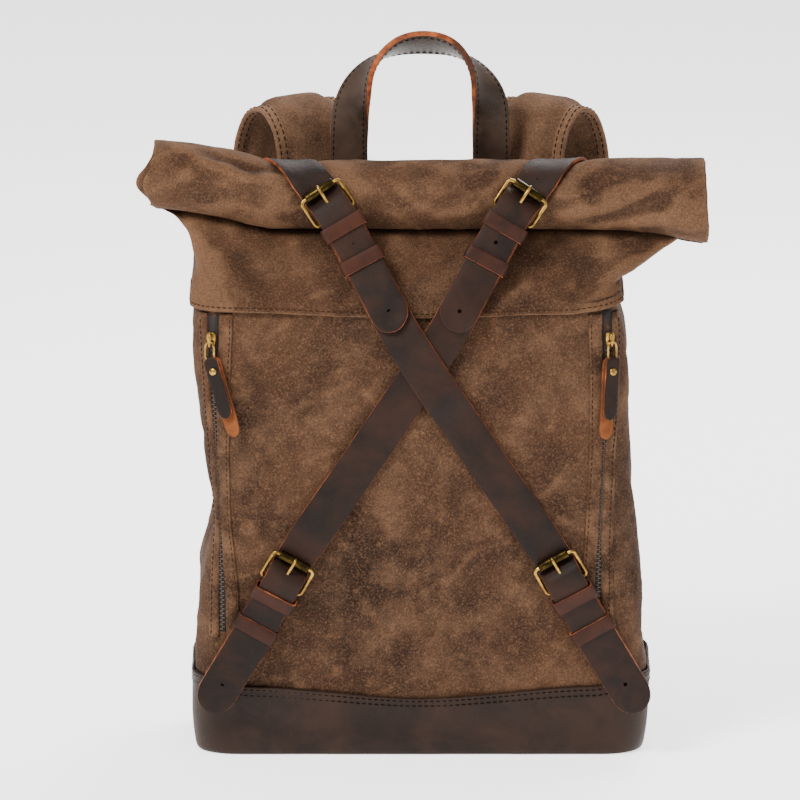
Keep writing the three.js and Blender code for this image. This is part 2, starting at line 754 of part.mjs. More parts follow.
const ROLL_CLEAR = 1.7;
const SEWN_LENGTH = 16;
const OVER_TIP = 48;
const TIP_LENGTH = 18;
function overStrap(path, over) {
  const onBack = (s) => RESTING + ROLL_CLEAR * smooth((path.end - SEWN_LENGTH - s) / 20);
  const back = evenRows(path.end - 1, TOP_ROLLER + 2 * ROLLER_RADIUS + 6, 15, onBack);
  const rise = (s) => HIGH_LAYER + crossingRise(s, over) + 0.7 * smooth((70 - s) / 20);
  const through = throughBuckle(TOP_ROLLER, TOP_HEEL);
  const below = evenRows(TOP_ROLLER - HEEL_DISTANCE - STACK_END - 2, OVER_TIP, 3, rise);
  const run = below.map((r) => ({ ...r, w: FREE_WIDTH }));
  const tip = tipRows(OVER_TIP, 0, -1, TIP_LENGTH).map((r) => ({ ...r, h: rise(r.s) }));
  return strap(path, [...back, ...through, ...run, ...tip]);
}

// The main layer of a strap as it climbs to the heel bar.
function mainEnd(heelAt, heel) {
  const width = (far) => (far < 5 ? FOLD_WIDTH : STRAP_WIDTH);
  return BELOW_STEPS.slice(1)
    .reverse()
    .map((far) => ({ s: heelAt - far, h: belowHeel(heel, far), w: width(far) }));
}

// The fold round a buckle's heel bar, from the main layer above to its short tail below.
function foldedEnd(heelAt, heel) {
  const fold = [90, 60, 30, 0, -30, -60, -90].map((a) => ({
    s: heelAt + FOLD_OUT * Math.cos(radians(a)),
    h: heel + FOLD_OUT * Math.sin(radians(a)),
    w: FOLD_WIDTH,
  }));
  return [...fold, { s: heelAt - FOLD_OUT, h: heel - FOLD_OUT, w: FOLD_WIDTH }];
}

// The cross strap: free tongue end at the bottom, folded round the top buckle's heel above.
const LAYERS_PART = 30;
function crossStrap(path, over) {
  const heelAt = TOP_ROLLER - HEEL_DISTANCE;
  const low = (s) => {
    if (s > -LAYERS_PART) return LOW_LAYER + crossingRise(s, over);
    return mix(LOW_LAYER, RESTING + 0.9, smooth((-LAYERS_PART - s) / LAYERS_PART));
  };
  const nose = path.start + 2;
  const tip = tipRows(nose + TIP_LENGTH - 1, HIGH_LAYER, -1, TIP_LENGTH - 1).reverse();
  const through = throughBuckle(BOTTOM_ROLLER, BOTTOM_HEEL).reverse();
  const stackEnd = BOTTOM_ROLLER - HEEL_DISTANCE - STACK_END;
  const lower = evenRows(nose + TIP_LENGTH, stackEnd, 3, () => HIGH_LAYER);
  const middle = evenRows(BOTTOM_ROLLER + 14, heelAt - STACK_END, 14, low);
  const end = [...mainEnd(heelAt, TOP_HEEL), ...foldedEnd(heelAt, TOP_HEEL)];
  return strap(path, [...tip, ...lower, ...through, ...middle, ...end]);
}

const ANCHOR_START = 22;
function anchorStrap(path) {
  const heelAt = BOTTOM_ROLLER - HEEL_DISTANCE;
  const run = evenRows(path.start + ANCHOR_START, heelAt - STACK_END, 5, () => LOW_LAYER);
  return strap(path, [...run, ...mainEnd(heelAt, BOTTOM_HEEL), ...foldedEnd(heelAt, BOTTOM_HEEL)]);
}

// Local frame of a strap stack: x across, y up the strap, z outwards.
function placeOn(path, s) {
  const f = path.frame(s);
  return new THREE.Matrix4().makeBasis(f.across, f.ahead, f.out).setPosition(f.p);
}

// The same for a rigid buckle, straight from its heel bar up to its roller.
function placeBuckle(path, roller) {
  const upper = path.frame(roller);
  const lower = path.frame(roller - HEEL_DISTANCE);
  const ahead = upper.p.clone().sub(lower.p).normalize();
  const out = lower.out.clone().addScaledVector(ahead, -lower.out.dot(ahead)).normalize();
  const across = new THREE.Vector3().crossVectors(ahead, out);
  const origin = lower.p.clone().addScaledVector(ahead, HEEL_DISTANCE);
  return new THREE.Matrix4().makeBasis(across, ahead, out).setPosition(origin);
}

function circle(radius, count) {
  return Array.from({ length: count }, (_, i) => {
    const a = (2 * Math.PI * i) / count;
    return [radius * Math.cos(a), radius * Math.sin(a)];
  });
}

// Round wire along points; a loop when it closes.
const WIRE_SIDES = 6;
function wire(points, radius, side, closed) {
  const n = points.length;
  const sections = points.map((p, i) => {
    const before = closed ? points[(i + n - 1) % n] : points[Math.max(0, i - 1)];
    const after = closed ? points[(i + 1) % n] : points[Math.min(n - 1, i + 1)];
    const ahead = after.clone().sub(before).normalize();
    const e1 = side.clone().addScaledVector(ahead, -side.dot(ahead)).normalize();
    const e2 = new THREE.Vector3().crossVectors(ahead, e1);
    const round = circle(radius, WIRE_SIDES);
    return round.map(([a, b]) => p.clone().addScaledVector(e1, a).addScaledVector(e2, b));
  });
  return closed ? looped(sections) : capped(sections);
}

const ROLLER_HEIGHT = GAP + LEATHER + GAP + ROLLER_RADIUS + 0.5;

// Buckle frame, its roller bar at y = 0 and its heel bar HEEL_DISTANCE below.
function frameGeometry(heel) {
  const side = FRAME_HALF - FRAME_CORNER;
  const low = FRAME_CORNER - HEEL_DISTANCE;
  const points = [
    [side, -FRAME_CORNER, 0],
    [-side, -FRAME_CORNER, 90],
    [-side, low, 180],
    [side, low, 270],
  ].flatMap(([cx, cy, from]) =>
    [0, 45, 90].map((a) => {
      const y = cy + FRAME_CORNER * Math.sin(radians(from + a));
      const x = cx + FRAME_CORNER * Math.cos(radians(from + a));
      return v3(x, y, mix(ROLLER_HEIGHT, heel, -y / HEEL_DISTANCE));
    }),
  );
  return wire(points, WIRE / 2, v3(0, 0, 1), true);
}

function rollerGeometry() {
  const inner = WIRE / 2 + GAP;
  const half = ROLLER_LENGTH / 2;
  const ring = (radius, x) => circle(radius, 10).map(([a, b]) => v3(x, a, ROLLER_HEIGHT + b));
  const outside = [ring(ROLLER_RADIUS, -half), ring(ROLLER_RADIUS, half)];
  return looped([...outside, ring(inner, half), ring(inner, -half)]);
}

// Tongue: hooked round the heel bar, up through the strap and over the roller.
function tonguePoints(heel) {
  const hook = WIRE / 2 + GAP + TONGUE_RADIUS;
  const points = [-60, -10, 40, 75].map((a) => {
    return v3(0, -HEEL_DISTANCE - hook * Math.cos(radians(a)), heel + hook * Math.sin(radians(a)));
  });
  const top = ROLLER_HEIGHT + ROLLER_RADIUS + GAP + TONGUE_RADIUS;
  const rise = (share) => mix(heel + hook, top, share);
  points.push(v3(0, -0.74 * HEEL_DISTANCE, heel + hook + 1.4));
  points.push(v3(0, -0.47 * HEEL_DISTANCE, rise(0.6)));
  points.push(v3(0, -1.2 * ROLLER_RADIUS, rise(0.985)));
  points.push(v3(0, 0.53 * ROLLER_RADIUS, top));
  points.push(v3(0, 1.27 * ROLLER_RADIUS, top - 2 * TONGUE_RADIUS));
  return points;
}

function tongueGeometry(heel, radius) {
  return wire(tonguePoints(heel), radius, v3(1, 0, 0), false);
}

// A flat band round what passes through it: half its width inside, bottom and top inside, wall and length.
const BAND_ROUND = 0.5;
function bandGeometry(half, bottom, top, wall, length) {
  const side = half - BAND_ROUND;
  const corners = [
    [-side, bottom + BAND_ROUND, 180],
    [-side, top - BAND_ROUND, 90],
    [side, top - BAND_ROUND, 0],
    [side, bottom + BAND_ROUND, -90],
  ];
  const ring = (grow, y) =>
    corners.flatMap(([cx, cz, from]) =>
      [90, 0].map((a) => {
        const r = BAND_ROUND + grow;
        return v3(cx + r * Math.cos(radians(from + a)), y, cz + r * Math.sin(radians(from + a)));
      }),
    );
  const end = length / 2;
  return looped([ring(wall, -end), ring(wall, end), ring(0, end), ring(0, -end)]);
}

// Keeper round both straps of a stack, from the height of the low strap to that of the high one.
function keeperGeometry(low, high, clear) {
  const reach = LEATHER / 2 + clear;
  return bandGeometry(STRAP_WIDTH / 2 + clear, low - reach, high + reach, KEEPER_WALL, KEEPER_BAND);
}

// Pieces joined and cut as solids
const wasm = await Module();
wasm.setup();

function solidOf(geometry) {
  const plain = new THREE.BufferGeometry();
  plain.setAttribute("position", geometry.getAttribute("position"));
  plain.setIndex(geometry.getIndex());
  const merged = mergeVertices(plain, 1e-4);
  const vertProperties = merged.attributes.position.array;
  const triVerts = new Uint32Array(merged.index.array);
  return new wasm.Manifold(new wasm.Mesh({ numProp: 3, vertProperties, triVerts }));
}

function cut(geometry, tools) {
  const whole = solidOf(geometry);
  const left = tools.reduce((solid, tool) => solid.subtract(solidOf(tool)), whole).getMesh();
  const out = new THREE.BufferGeometry();
  out.setAttribute("position", new THREE.BufferAttribute(left.vertProperties.slice(), 3));
  out.setIndex(Array.from(left.triVerts));
  return out;
}

function holePunch(path, s, h) {
  const punch = new THREE.CylinderGeometry(HOLE_RADIUS, HOLE_RADIUS, 3.5 * LEATHER, 6);
  punch.rotateX(Math.PI / 2);
  punch.translate(0, 0, h);
  return punch.applyMatrix4(placeOn(path, s));
}

// Slot for the tongue in the fold round the heel bar.
const SLOT_WIDTH = 2 * TONGUE_RADIUS + 1.4;
const SLOT_LENGTH = 12;
function slotCutter(matrix, heel) {
  const box = new THREE.BoxGeometry(SLOT_WIDTH, SLOT_LENGTH, 4 * LEATHER);
  box.translate(0, -HEEL_DISTANCE + 0.25 * WIRE, heel);
  return box.applyMatrix4(matrix);
}

// Zips and their pulls
function bodySurface(x, z, out) {
  const row = rowAt(BODY_ROWS, "z", z);
  const cornerLeft = row.left + row.round;
  const cornerRight = row.right - row.round;
  const side = x < cornerLeft ? cornerLeft : x > cornerRight ? cornerRight : x;
  const dx = x - side;
  const n = v3(dx, -Math.sqrt(Math.max(1, row.round ** 2 - dx ** 2)), 0).normalize();
  const y = row.front + row.round + n.y * row.round;
  const push = out + foldHeight(BODY_FOLDS, x, y, z, n.x, n.y);
  return { p: v3(x, y, z).addScaledVector(n, push), n };
}

// A strip on the front of the lower tube along a zip's length, its middle at x(z).
const STRIP_STEPS = 12;
function surfaceStrip(middle, width, thick) {
  const sections = [];
  for (let i = 0; i <= STRIP_STEPS; i += 1) {
    const z = mix(ZIP_BOTTOM, ZIP_TOP, i / STRIP_STEPS);
    const at = bodySurface(middle(z), z, SKIN_GAP);
    const middleOf = at.p.addScaledVector(at.n, thick / 2);
    sections.push(flatSection(middleOf, v3(-at.n.y, at.n.x, 0), at.n, width, thick));
  }
  return capped(sections);
}

const SIDES = [
  ["left", -1],
  ["right", 1],
];
function zipMiddle(name, side) {
  return (z) => ZIP_MIDDLE[name] - side * ZIP_SPREAD * smooth((ZIP_TOP - z) / (ZIP_TOP - ZIP_BOTTOM));
}
function placketMiddle(name, side) {
  return (z) => zipMiddle(name, side)(z) - side * (ZIP_WIDTH / 2 + 2 * GAP + PLACKET_WIDTH / 2);
}

function sliderGeometry() {
  const shape = new THREE.Shape();
  shape.moveTo(-1.6, -5);
  shape.lineTo(1.6, -5);
  shape.lineTo(3, 0);
  shape.lineTo(2.4, 5);
  shape.lineTo(-2.4, 5);
  shape.lineTo(-3, 0);
  shape.closePath();
  const bevel = { bevelEnabled: true, bevelSize: 0.4, bevelThickness: 0.4, bevelSegments: 1 };
  return new THREE.ExtrudeGeometry(shape, { depth: SLIDER_DEPTH, ...bevel });
}

function placeOnFront(x, z, out) {
  const at = bodySurface(x, z, out);
  const across = v3(-at.n.y, at.n.x, 0);
  return new THREE.Matrix4().makeBasis(across, v3(0, 0, 1), at.n).setPosition(at.p);
}

function ringGeometry() {
  const bend = (c) => Math.sign(c) * Math.abs(c) ** 0.6;
  const points = circle(1, 12).map(([a, b]) => {
    return v3(RING_HALF * bend(a), RING_LONG * bend(b) - RING_DROP, RING_HEIGHT);
  });
  return wire(points, RING_WIRE, v3(0, 0, 1), true);
}

// Leather pull: front and back layer of one strip folded through the ring.
function pullGeometry() {
  const shoulder = PULL_WIDTH - 1;
  const tip = PULL_WIDTH - 2;
  const rows = table(
    { y: [1], z: [1], width: [1] },
    [
      [-38, PULL_FRONT + 0.3, PULL_NECK],
      [-35.6, PULL_FRONT + 0.2, tip],
      [-31, PULL_FRONT, PULL_WIDTH],
      [4, PULL_FRONT, shoulder],
      [5.6, PULL_FRONT - 0.1, PULL_NECK],
      [7, PULL_FRONT - 0.6, PULL_NECK],
      [8, (PULL_FRONT + PULL_BACK) / 2, PULL_NECK],
      [7, PULL_BACK + 0.6, PULL_NECK],
      [5.6, PULL_BACK + 0.1, PULL_NECK],
      [4, PULL_BACK, shoulder],
      [-44, PULL_BACK, PULL_WIDTH],
      [-49, PULL_BACK, tip],
      [-51, PULL_BACK, PULL_NECK],
    ],
  );
  return capped(
    rows.map((r, i) => {
      const before = rows[Math.max(0, i - 1)];
      const after = rows[Math.min(rows.length - 1, i + 1)];
      const way = v3(0, after.y - before.y, after.z - before.z).normalize();
      const out = new THREE.Vector3().crossVectors(v3(1, 0, 0), way);
      return flatSection(v3(0, r.y, r.z), v3(-1, 0, 0), out, r.width, PULL_THICK).reverse();
    }),
  );
}

function pullWithHole() {
  const radius = RIVET_RADIUS + 0.3;
  const hole = new THREE.CylinderGeometry(radius, radius, 2 * PULL_FRONT, 8);
  hole.rotateX(Math.PI / 2);
  hole.translate(0, RIVET_Y, PULL_FRONT);
  return cut(pullGeometry(), [hole]);
}

function rivetGeometry() {
  const foot = PULL_BACK + PULL_THICK / 2 + 0.1;
  const head = PULL_FRONT + PULL_THICK / 2 + GAP;
  const profile = [
    [0, foot],
    [RIVET_RADIUS, foot],
    [RIVET_RADIUS, head],
    [2.5, head],
    [2.1, head + 1],
    [0, head + 1.4],
  ].map(([r, z]) => new THREE.Vector2(r, z));
  return new THREE.LatheGeometry(profile, 12).rotateX(Math.PI / 2);
}

// Handle and shoulder straps
function tableCurve(rows, mirror) {
  return new THREE.CatmullRomCurve3(rows.map((r) => v3(mirror * r.x, r.y, r.z)), false, "centripetal");
}

// A table's value of one column at a share of its whole length.
function alongTable(rows, name, t) {
  const k = t * (rows.length - 1);
  const j = Math.min(rows.length - 2, Math.floor(k));
  return mix(rows[j][name], rows[j + 1][name], k - j);
}

const HANDLE_STEPS = 24;
function carryHandle() {
  const curve = tableCurve(HANDLE_LINE, 1);
  const sections = [];
  for (let i = 0; i <= HANDLE_STEPS; i += 1) {
    const t = i / HANDLE_STEPS;
    const turn = radians(alongTable(HANDLE_LINE, "turn", t));
    const ahead = curve.getTangent(t);
    const near = v3(0, -1, 0).addScaledVector(ahead, ahead.y).normalize();
    const flat = new THREE.Vector3().crossVectors(ahead, near);
    const across = flat.multiplyScalar(Math.cos(turn)).addScaledVector(near, Math.sin(turn));
    const out = new THREE.Vector3().crossVectors(across, ahead);
    sections.push(flatSection(curve.getPoint(t), across, out, HANDLE_WIDTH, HANDLE_THICK));
  }
  return capped(sections);
}

const PAD_STEPS = 21;
const PAD_SECTION = [
  [-1, -0.3],
  [-0.8, -1],
  [0.8, -1],
  [1, -0.3],
  [1, 0.3],
  [0.8, 1],
  [-0.8, 1],
  [-1, 0.3],
];
function shoulderStrap(mirror) {
  const curve = tableCurve(PAD_LINE, mirror);
  const sections = [];
  for (let i = 0; i <= PAD_STEPS; i += 1) {
    const t = i / PAD_STEPS;
    const yaw = radians(alongTable(PAD_LINE, "yaw", t));
    const ahead = curve.getTangent(t);
    const wanted = v3(Math.cos(yaw), -mirror * Math.sin(yaw), 0);
    const across = wanted.addScaledVector(ahead, -wanted.dot(ahead)).normalize();
    const out = new THREE.Vector3().crossVectors(ahead, across);
    const half = (PAD_WIDTH / 2) * mix(1, 0.72, smooth((t - 0.88) / 0.12));
    const thick = mix(0.5, 1, smooth(t / 0.2)) * mix(1, 0.6, smooth((t - 0.9) / 0.1));
    const rise = (PAD_THICK / 2) * thick;
    const p = curve.getPoint(t);
    const point = ([a, b]) => p.clone().addScaledVector(across, a * half).addScaledVector(out, b * rise);
    sections.push(PAD_SECTION.map(point));
  }
  return capped(sections);
}

function webbingFrame(mirror, t) {
  const curve = tableCurve(WEBBING_LINE, mirror);
  const ahead = curve.getTangent(t);
  const across = v3(1, 0, 0).addScaledVector(ahead, -ahead.x).normalize();
  return { p: curve.getPoint(t), ahead, across, out: new THREE.Vector3().crossVectors(across, ahead) };
}

const WEBBING_STEPS = 8;
function webbing(mirror) {
  const sections = [];
  for (let i = 0; i <= WEBBING_STEPS; i += 1) {
    const f = webbingFrame(mirror, i / WEBBING_STEPS);
    sections.push(flatSection(f.p, f.across, f.out, WEBBING_WIDTH, WEBBING_THICK));
  }
  return capped(sections);
}

// The adjuster is a flat loop that the webbing runs through.
const ADJUSTER_AT = 0.55;
const ADJUSTER_CLEAR = 0.6;
function adjuster(mirror) {
  const f = webbingFrame(mirror, ADJUSTER_AT);
  const reach = WEBBING_THICK / 2 + ADJUSTER_CLEAR;
  const half = WEBBING_WIDTH / 2 + ADJUSTER_CLEAR;
  const band = bandGeometry(half, -reach, reach, ADJUSTER_WALL, ADJUSTER_LENGTH);
  return band.applyMatrix4(new THREE.Matrix4().makeBasis(f.across, f.ahead, f.out).setPosition(f.p));
}

// Colours
const CANVAS_BROWN = 0x6f5742;
const BASE_BROWN = 0x4d3b33;
const STRAP_BROWN = 0x3f2c25;
const BRASS = 0x8a6f3a;
const TAPE_BROWN = 0x3a2b22;

const group = new THREE.Group();
function addPiece(name, geometry, color, roughness, metalness) {
  const material = new THREE.MeshStandardMaterial({ color, roughness, metalness });
  const mesh = new THREE.Mesh(geometry, material);
  mesh.name = name;
  group.add(mesh);
}
const addCanvas = (name, geometry) => addPiece(name, geometry, CANVAS_BROWN, 0.9, 0);
const addLeather = (name, geometry) => addPiece(name, geometry, STRAP_BROWN, 0.55, 0);
const addBrass = (name, geometry) => addPiece(name, geometry, BRASS, 0.4, 0.9);

addCanvas("canvas_body", canvasBody());
addCanvas("roll_top_collar", rollTopCollar());
addPiece("leather_base", leatherBase(), BASE_BROWN, 0.6, 0);

// Straps with their buckles: the left line starts over the left end of the roll.
const ROLL_HOLE = 11;
const FREE_HOLES = [52, 96];
function addStrapLine(name) {
  const path = lines[name];
  const over = name === "left";
  const top = placeBuckle(path, TOP_ROLLER);
  const bottom = placeBuckle(path, BOTTOM_ROLLER);
  const tongue = (heel, radius, matrix) => tongueGeometry(heel, radius).applyMatrix4(matrix);
  const wideTongue = (heel, matrix) => tongue(heel, TONGUE_RADIUS + GAP, matrix);
  const rollHole = holePunch(path, TOP_ROLLER + ROLL_HOLE, RESTING);
  const freeHoles = FREE_HOLES.map((below) => holePunch(path, BOTTOM_ROLLER - below, HIGH_LAYER));
  const upper = cut(overStrap(path, over), [wideTongue(TOP_HEEL, top), rollHole]);
  const tools = [slotCutter(top, TOP_HEEL), wideTongue(BOTTOM_HEEL, bottom), ...freeHoles];
  addLeather(`over_strap_${name}`, upper);
  addLeather(`cross_strap_${name}`, cut(crossStrap(path, over), tools));
  addLeather(`anchor_strap_${name}`, cut(anchorStrap(path), [slotCutter(bottom, BOTTOM_HEEL)]));
  for (const [place, heel, matrix, roller] of [
    ["top", TOP_HEEL, top, TOP_ROLLER],
    ["bottom", BOTTOM_HEEL, bottom, BOTTOM_ROLLER],
  ]) {
    addBrass(`buckle_${place}_${name}`, frameGeometry(heel).applyMatrix4(matrix));
    addBrass(`roller_${place}_${name}`, rollerGeometry().applyMatrix4(matrix));
    addBrass(`tongue_${place}_${name}`, tongue(heel, TONGUE_RADIUS, matrix));
    addKeepers(path, `keeper_${place}_${name}`, heel, roller);
  }
}

// Two keepers below a buckle: the near one lies on the slope of the folded strap.
function addKeepers(path, name, heel, roller) {
  const near = HEEL_GAP + KEEPER_BAND / 2;
  const drop = belowHeel(heel, HEEL_GAP) - belowHeel(heel, HEEL_GAP + KEEPER_BAND);
  const level = belowHeel(heel, near);
  const nearKeeper = keeperGeometry(level, level + HIGH_LAYER - LOW_LAYER, NEAR_CLEAR);
  const middle = level + (HIGH_LAYER - LOW_LAYER) / 2;
  nearKeeper.translate(0, 0, -middle);
  nearKeeper.rotateX(Math.atan2(drop, KEEPER_BAND));
  nearKeeper.translate(0, 0, middle);
  const at = roller - HEEL_DISTANCE - near;
  addLeather(`${name}_1`, nearKeeper.applyMatrix4(placeOn(path, at)));
  const farKeeper = keeperGeometry(LOW_LAYER, HIGH_LAYER, KEEPER_CLEAR);
  addLeather(`${name}_2`, farKeeper.applyMatrix4(placeOn(path, at - KEEPER_SPACING)));
}
addStrapLine("left");
addStrapLine("right");

function addZip(name, side) {
  const middle = zipMiddle(name, side);
  addCanvas(`placket_${name}`, surfaceStrip(placketMiddle(name, side), PLACKET_WIDTH, PLACKET_THICK));
  addPiece(`zip_${name}`, surfaceStrip(middle, ZIP_WIDTH, TAPE_THICK), TAPE_BROWN, 0.8, 0);
  const at = placeOnFront(middle(SLIDER_Z), SLIDER_Z, SLIDER_STAND);
  addBrass(`zip_slider_${name}`, sliderGeometry().applyMatrix4(at));
  addBrass(`zip_ring_${name}`, ringGeometry().applyMatrix4(at));
  const hang = new THREE.Matrix4().makeRotationX(-PULL_LEAN).setPosition(0, -PULL_DROP, PULL_STAND);
  const pull = at.clone().multiply(hang);
  addLeather(`zip_pull_${name}`, pullWithHole().applyMatrix4(pull));
  addBrass(`zip_rivet_${name}`, rivetGeometry().translate(0, RIVET_Y, 0).applyMatrix4(pull));
}

addLeather("carry_handle", carryHandle());
for (const [name, side] of SIDES) {
  addZip(name, side);
  addCanvas(`shoulder_strap_${name}`, shoulderStrap(side));
  addPiece(`webbing_${name}`, webbing(side), TAPE_BROWN, 0.8, 0);
  addBrass(`adjuster_${name}`, adjuster(side));
}

export default group;
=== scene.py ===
"""Looks of the canvas backpack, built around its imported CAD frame. Lengths in the tables are millimetres."""

import math

import bpy
import numpy as np
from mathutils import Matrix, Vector, noise


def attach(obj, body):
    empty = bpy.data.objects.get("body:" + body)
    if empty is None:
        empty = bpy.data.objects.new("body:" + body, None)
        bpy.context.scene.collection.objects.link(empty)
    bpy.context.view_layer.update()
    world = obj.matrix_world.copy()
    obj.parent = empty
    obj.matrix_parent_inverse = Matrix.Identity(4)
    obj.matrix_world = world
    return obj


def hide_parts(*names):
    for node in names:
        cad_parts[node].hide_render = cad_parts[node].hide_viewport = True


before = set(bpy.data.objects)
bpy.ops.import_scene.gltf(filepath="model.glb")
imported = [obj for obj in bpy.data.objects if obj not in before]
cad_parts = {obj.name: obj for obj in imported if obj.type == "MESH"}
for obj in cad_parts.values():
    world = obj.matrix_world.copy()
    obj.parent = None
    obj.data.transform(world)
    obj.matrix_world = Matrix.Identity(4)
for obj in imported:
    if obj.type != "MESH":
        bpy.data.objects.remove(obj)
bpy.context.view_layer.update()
BODY = "root"
MM = 0.001

# Small tools


def srgb(r, g, b):
    """An sRGB colour, 0 to 255, as a linear RGBA value."""
    linear = lambda c: ((c / 255 + 0.055) / 1.055) ** 2.4 if c > 10 else c / 255 / 12.92
    return linear(r), linear(g), linear(b), 1.0


def smooth(t):
    c = np.clip(t, 0.0, 1.0)
    return c * c * (3 - 2 * c)


def mix(a, b, t):
    return a + (b - a) * t


def unit(v):
    v = np.asarray(v, float)
    return v / np.maximum(np.linalg.norm(v, axis=-1, keepdims=True), 1e-9)


def spline_rows(rows, t):
    """Catmull-Rom interpolation of table rows at fractional row positions."""
    rows = np.asarray(rows, float)
    t = np.asarray(t, float)
    i = np.clip(np.floor(t).astype(int), 0, len(rows) - 2)
    f = (t - i)[:, None]
    p1, p2 = rows[i], rows[i + 1]
    p0 = rows[np.maximum(i - 1, 0)]
    p3 = rows[np.minimum(i + 2, len(rows) - 1)]
    m1, m2 = (p2 - p0) / 2, (p3 - p1) / 2
    start, end = 2 * f**3 - 3 * f**2 + 1, -2 * f**3 + 3 * f**2
    return start * p1 + (f**3 - 2 * f**2 + f) * m1 + end * p2 + (f**3 - f**2) * m2


def at_key(rows, key, values):
    """Rows of a table interpolated linearly at values of the key column, others in order."""
    rows = np.asarray(rows, float)
    order = np.argsort(rows[:, key])
    x = rows[order, key]
    return np.stack([np.interp(values, x, rows[order, c]) for c in range(rows.shape[1])], -1)


def wobble(points, size, seed):
    """Smooth noise of about -1 to 1 at points in millimetres, with features of that size."""
    shifted = np.asarray(points, float) / size + np.array([seed, -seed, 3.1 * seed])
    return np.array([noise.noise(Vector(p)) for p in shifted.tolist()])


def curve_points(points, step):
    """A centripetal curve through points, sampled every step millimetres."""
    p = np.asarray(points, float)
    p = np.vstack([2 * p[0] - p[1], p, 2 * p[-1] - p[-2]])
    out, marks = [], []
    for k in range(1, len(p) - 2):
        a, b, c, d = p[k - 1 : k + 3]
        t0 = 0.0
        t1 = t0 + math.sqrt(np.linalg.norm(b - a))
        t2 = t1 + math.sqrt(np.linalg.norm(c - b))
        t3 = t2 + math.sqrt(np.linalg.norm(d - c))
        n = max(2, int(np.linalg.norm(c - b) / 0.5))
        t = np.linspace(t1, t2, n, endpoint=False)[:, None]
        a1 = (t1 - t) / (t1 - t0) * a + (t - t0) / (t1 - t0) * b
        a2 = (t2 - t) / (t2 - t1) * b + (t - t1) / (t2 - t1) * c
        a3 = (t3 - t) / (t3 - t2) * c + (t - t2) / (t3 - t2) * d
        b1 = (t2 - t) / (t2 - t0) * a1 + (t - t0) / (t2 - t0) * a2
        b2 = (t3 - t) / (t3 - t1) * a2 + (t - t1) / (t3 - t1) * a3
        out.append((t2 - t) / (t2 - t1) * b1 + (t - t1) / (t2 - t1) * b2)
        marks.append(k - 1 + np.linspace(0, 1, n, endpoint=False))
    out = np.vstack([*out, p[-2]])
    marks = np.concatenate([*marks, [len(p) - 3.0]])
    length = np.concatenate([[0], np.cumsum(np.linalg.norm(np.diff(out, axis=0), axis=1))])
    count = max(2, int(round(length[-1] / step)) + 1)
    s = np.linspace(0, length[-1], count)
    return np.stack([np.interp(s, length, out[:, i]) for i in range(3)], -1), np.interp(s, length, marks), s


# Materials


class Shader:
    """A material's node tree with short helpers."""

    def __init__(self, name):
        self.material = bpy.data.materials.new(name)
        self.material.use_nodes = True
        self.nodes = self.material.node_tree.nodes
        self.links = self.material.node_tree.links
        self.bsdf = self.nodes["Principled BSDF"]
        coordinates = self.nodes.new("ShaderNodeTexCoord")
        self.where = coordinates.outputs["Object"]

    def put(self, socket, value):
        if isinstance(value, bpy.types.NodeSocket):
            self.links.new(value, socket)
        else:
            socket.default_value = value

    def noise(self, scale, detail=4.0, roughness=0.55, distortion=0.0, stretch=None, offset=(0, 0, 0)):
        mapping = self.nodes.new("ShaderNodeMapping")
        self.links.new(self.where, mapping.inputs["Vector"])
        mapping.inputs["Location"].default_value = offset
        if stretch:
            mapping.inputs["Scale"].default_value = stretch
        node = self.nodes.new("ShaderNodeTexNoise")
        self.links.new(mapping.outputs["Vector"], node.inputs["Vector"])
        node.inputs["Scale"].default_value = scale
        node.inputs["Detail"].default_value = detail
        node.inputs["Roughness"].default_value = roughness
        node.inputs["Distortion"].default_value = distortion
        return node.outputs["Fac"]

    def voronoi(self, scale, feature="F1", randomness=1.0):
        node = self.nodes.new("ShaderNodeTexVoronoi")
        node.feature = feature
        self.links.new(self.where, node.inputs["Vector"])
        node.inputs["Scale"].default_value = scale
        node.inputs["Randomness"].default_value = randomness
        return node.outputs["Distance"]

    def remap(self, value, low, high, to_low=0.0, to_high=1.0):
        node = self.nodes.new("ShaderNodeMapRange")
        self.put(node.inputs["Value"], value)
        for name, number in zip(("From Min", "From Max", "To Min", "To Max"), (low, high, to_low, to_high)):
            node.inputs[name].default_value = number
        return node.outputs["Result"]

    def math(self, operation, a, b=0.0):
        node = self.nodes.new("ShaderNodeMath")
        node.operation = operation
        self.put(node.inputs[0], a)
        self.put(node.inputs[1], b)
        return node.outputs["Value"]

    def blend(self, fac, a, b, mode="MIX"):
        node = self.nodes.new("ShaderNodeMix")
        node.data_type = "RGBA"
        node.blend_type = mode
        self.put(node.inputs[0], fac)
        self.put(node.inputs[6], a)
        self.put(node.inputs[7], b)
        return node.outputs[2]

    def attribute(self, name):
        node = self.nodes.new("ShaderNodeAttribute")
        node.attribute_name = name
        return node.outputs["Fac"]

    def bump(self, height, strength, distance, under=None):
        node = self.nodes.new("ShaderNodeBump")
        node.inputs["Strength"].default_value = strength
        node.inputs["Distance"].default_value = distance
        self.links.new(height, node.inputs["Height"])
        if under is not None:
            self.links.new(under, node.inputs["Normal"])
        return node.outputs["Normal"]

    def finish(self, color, roughness, normal=None, **constants):
        self.put(self.bsdf.inputs["Base Color"], color)
        self.put(self.bsdf.inputs["Roughness"], roughness)
        if normal is not None:
            self.links.new(normal, self.bsdf.inputs["Normal"])
        for name, value in constants.items():
            self.bsdf.inputs[name.replace("_", " ")].default_value = value
        return self.material


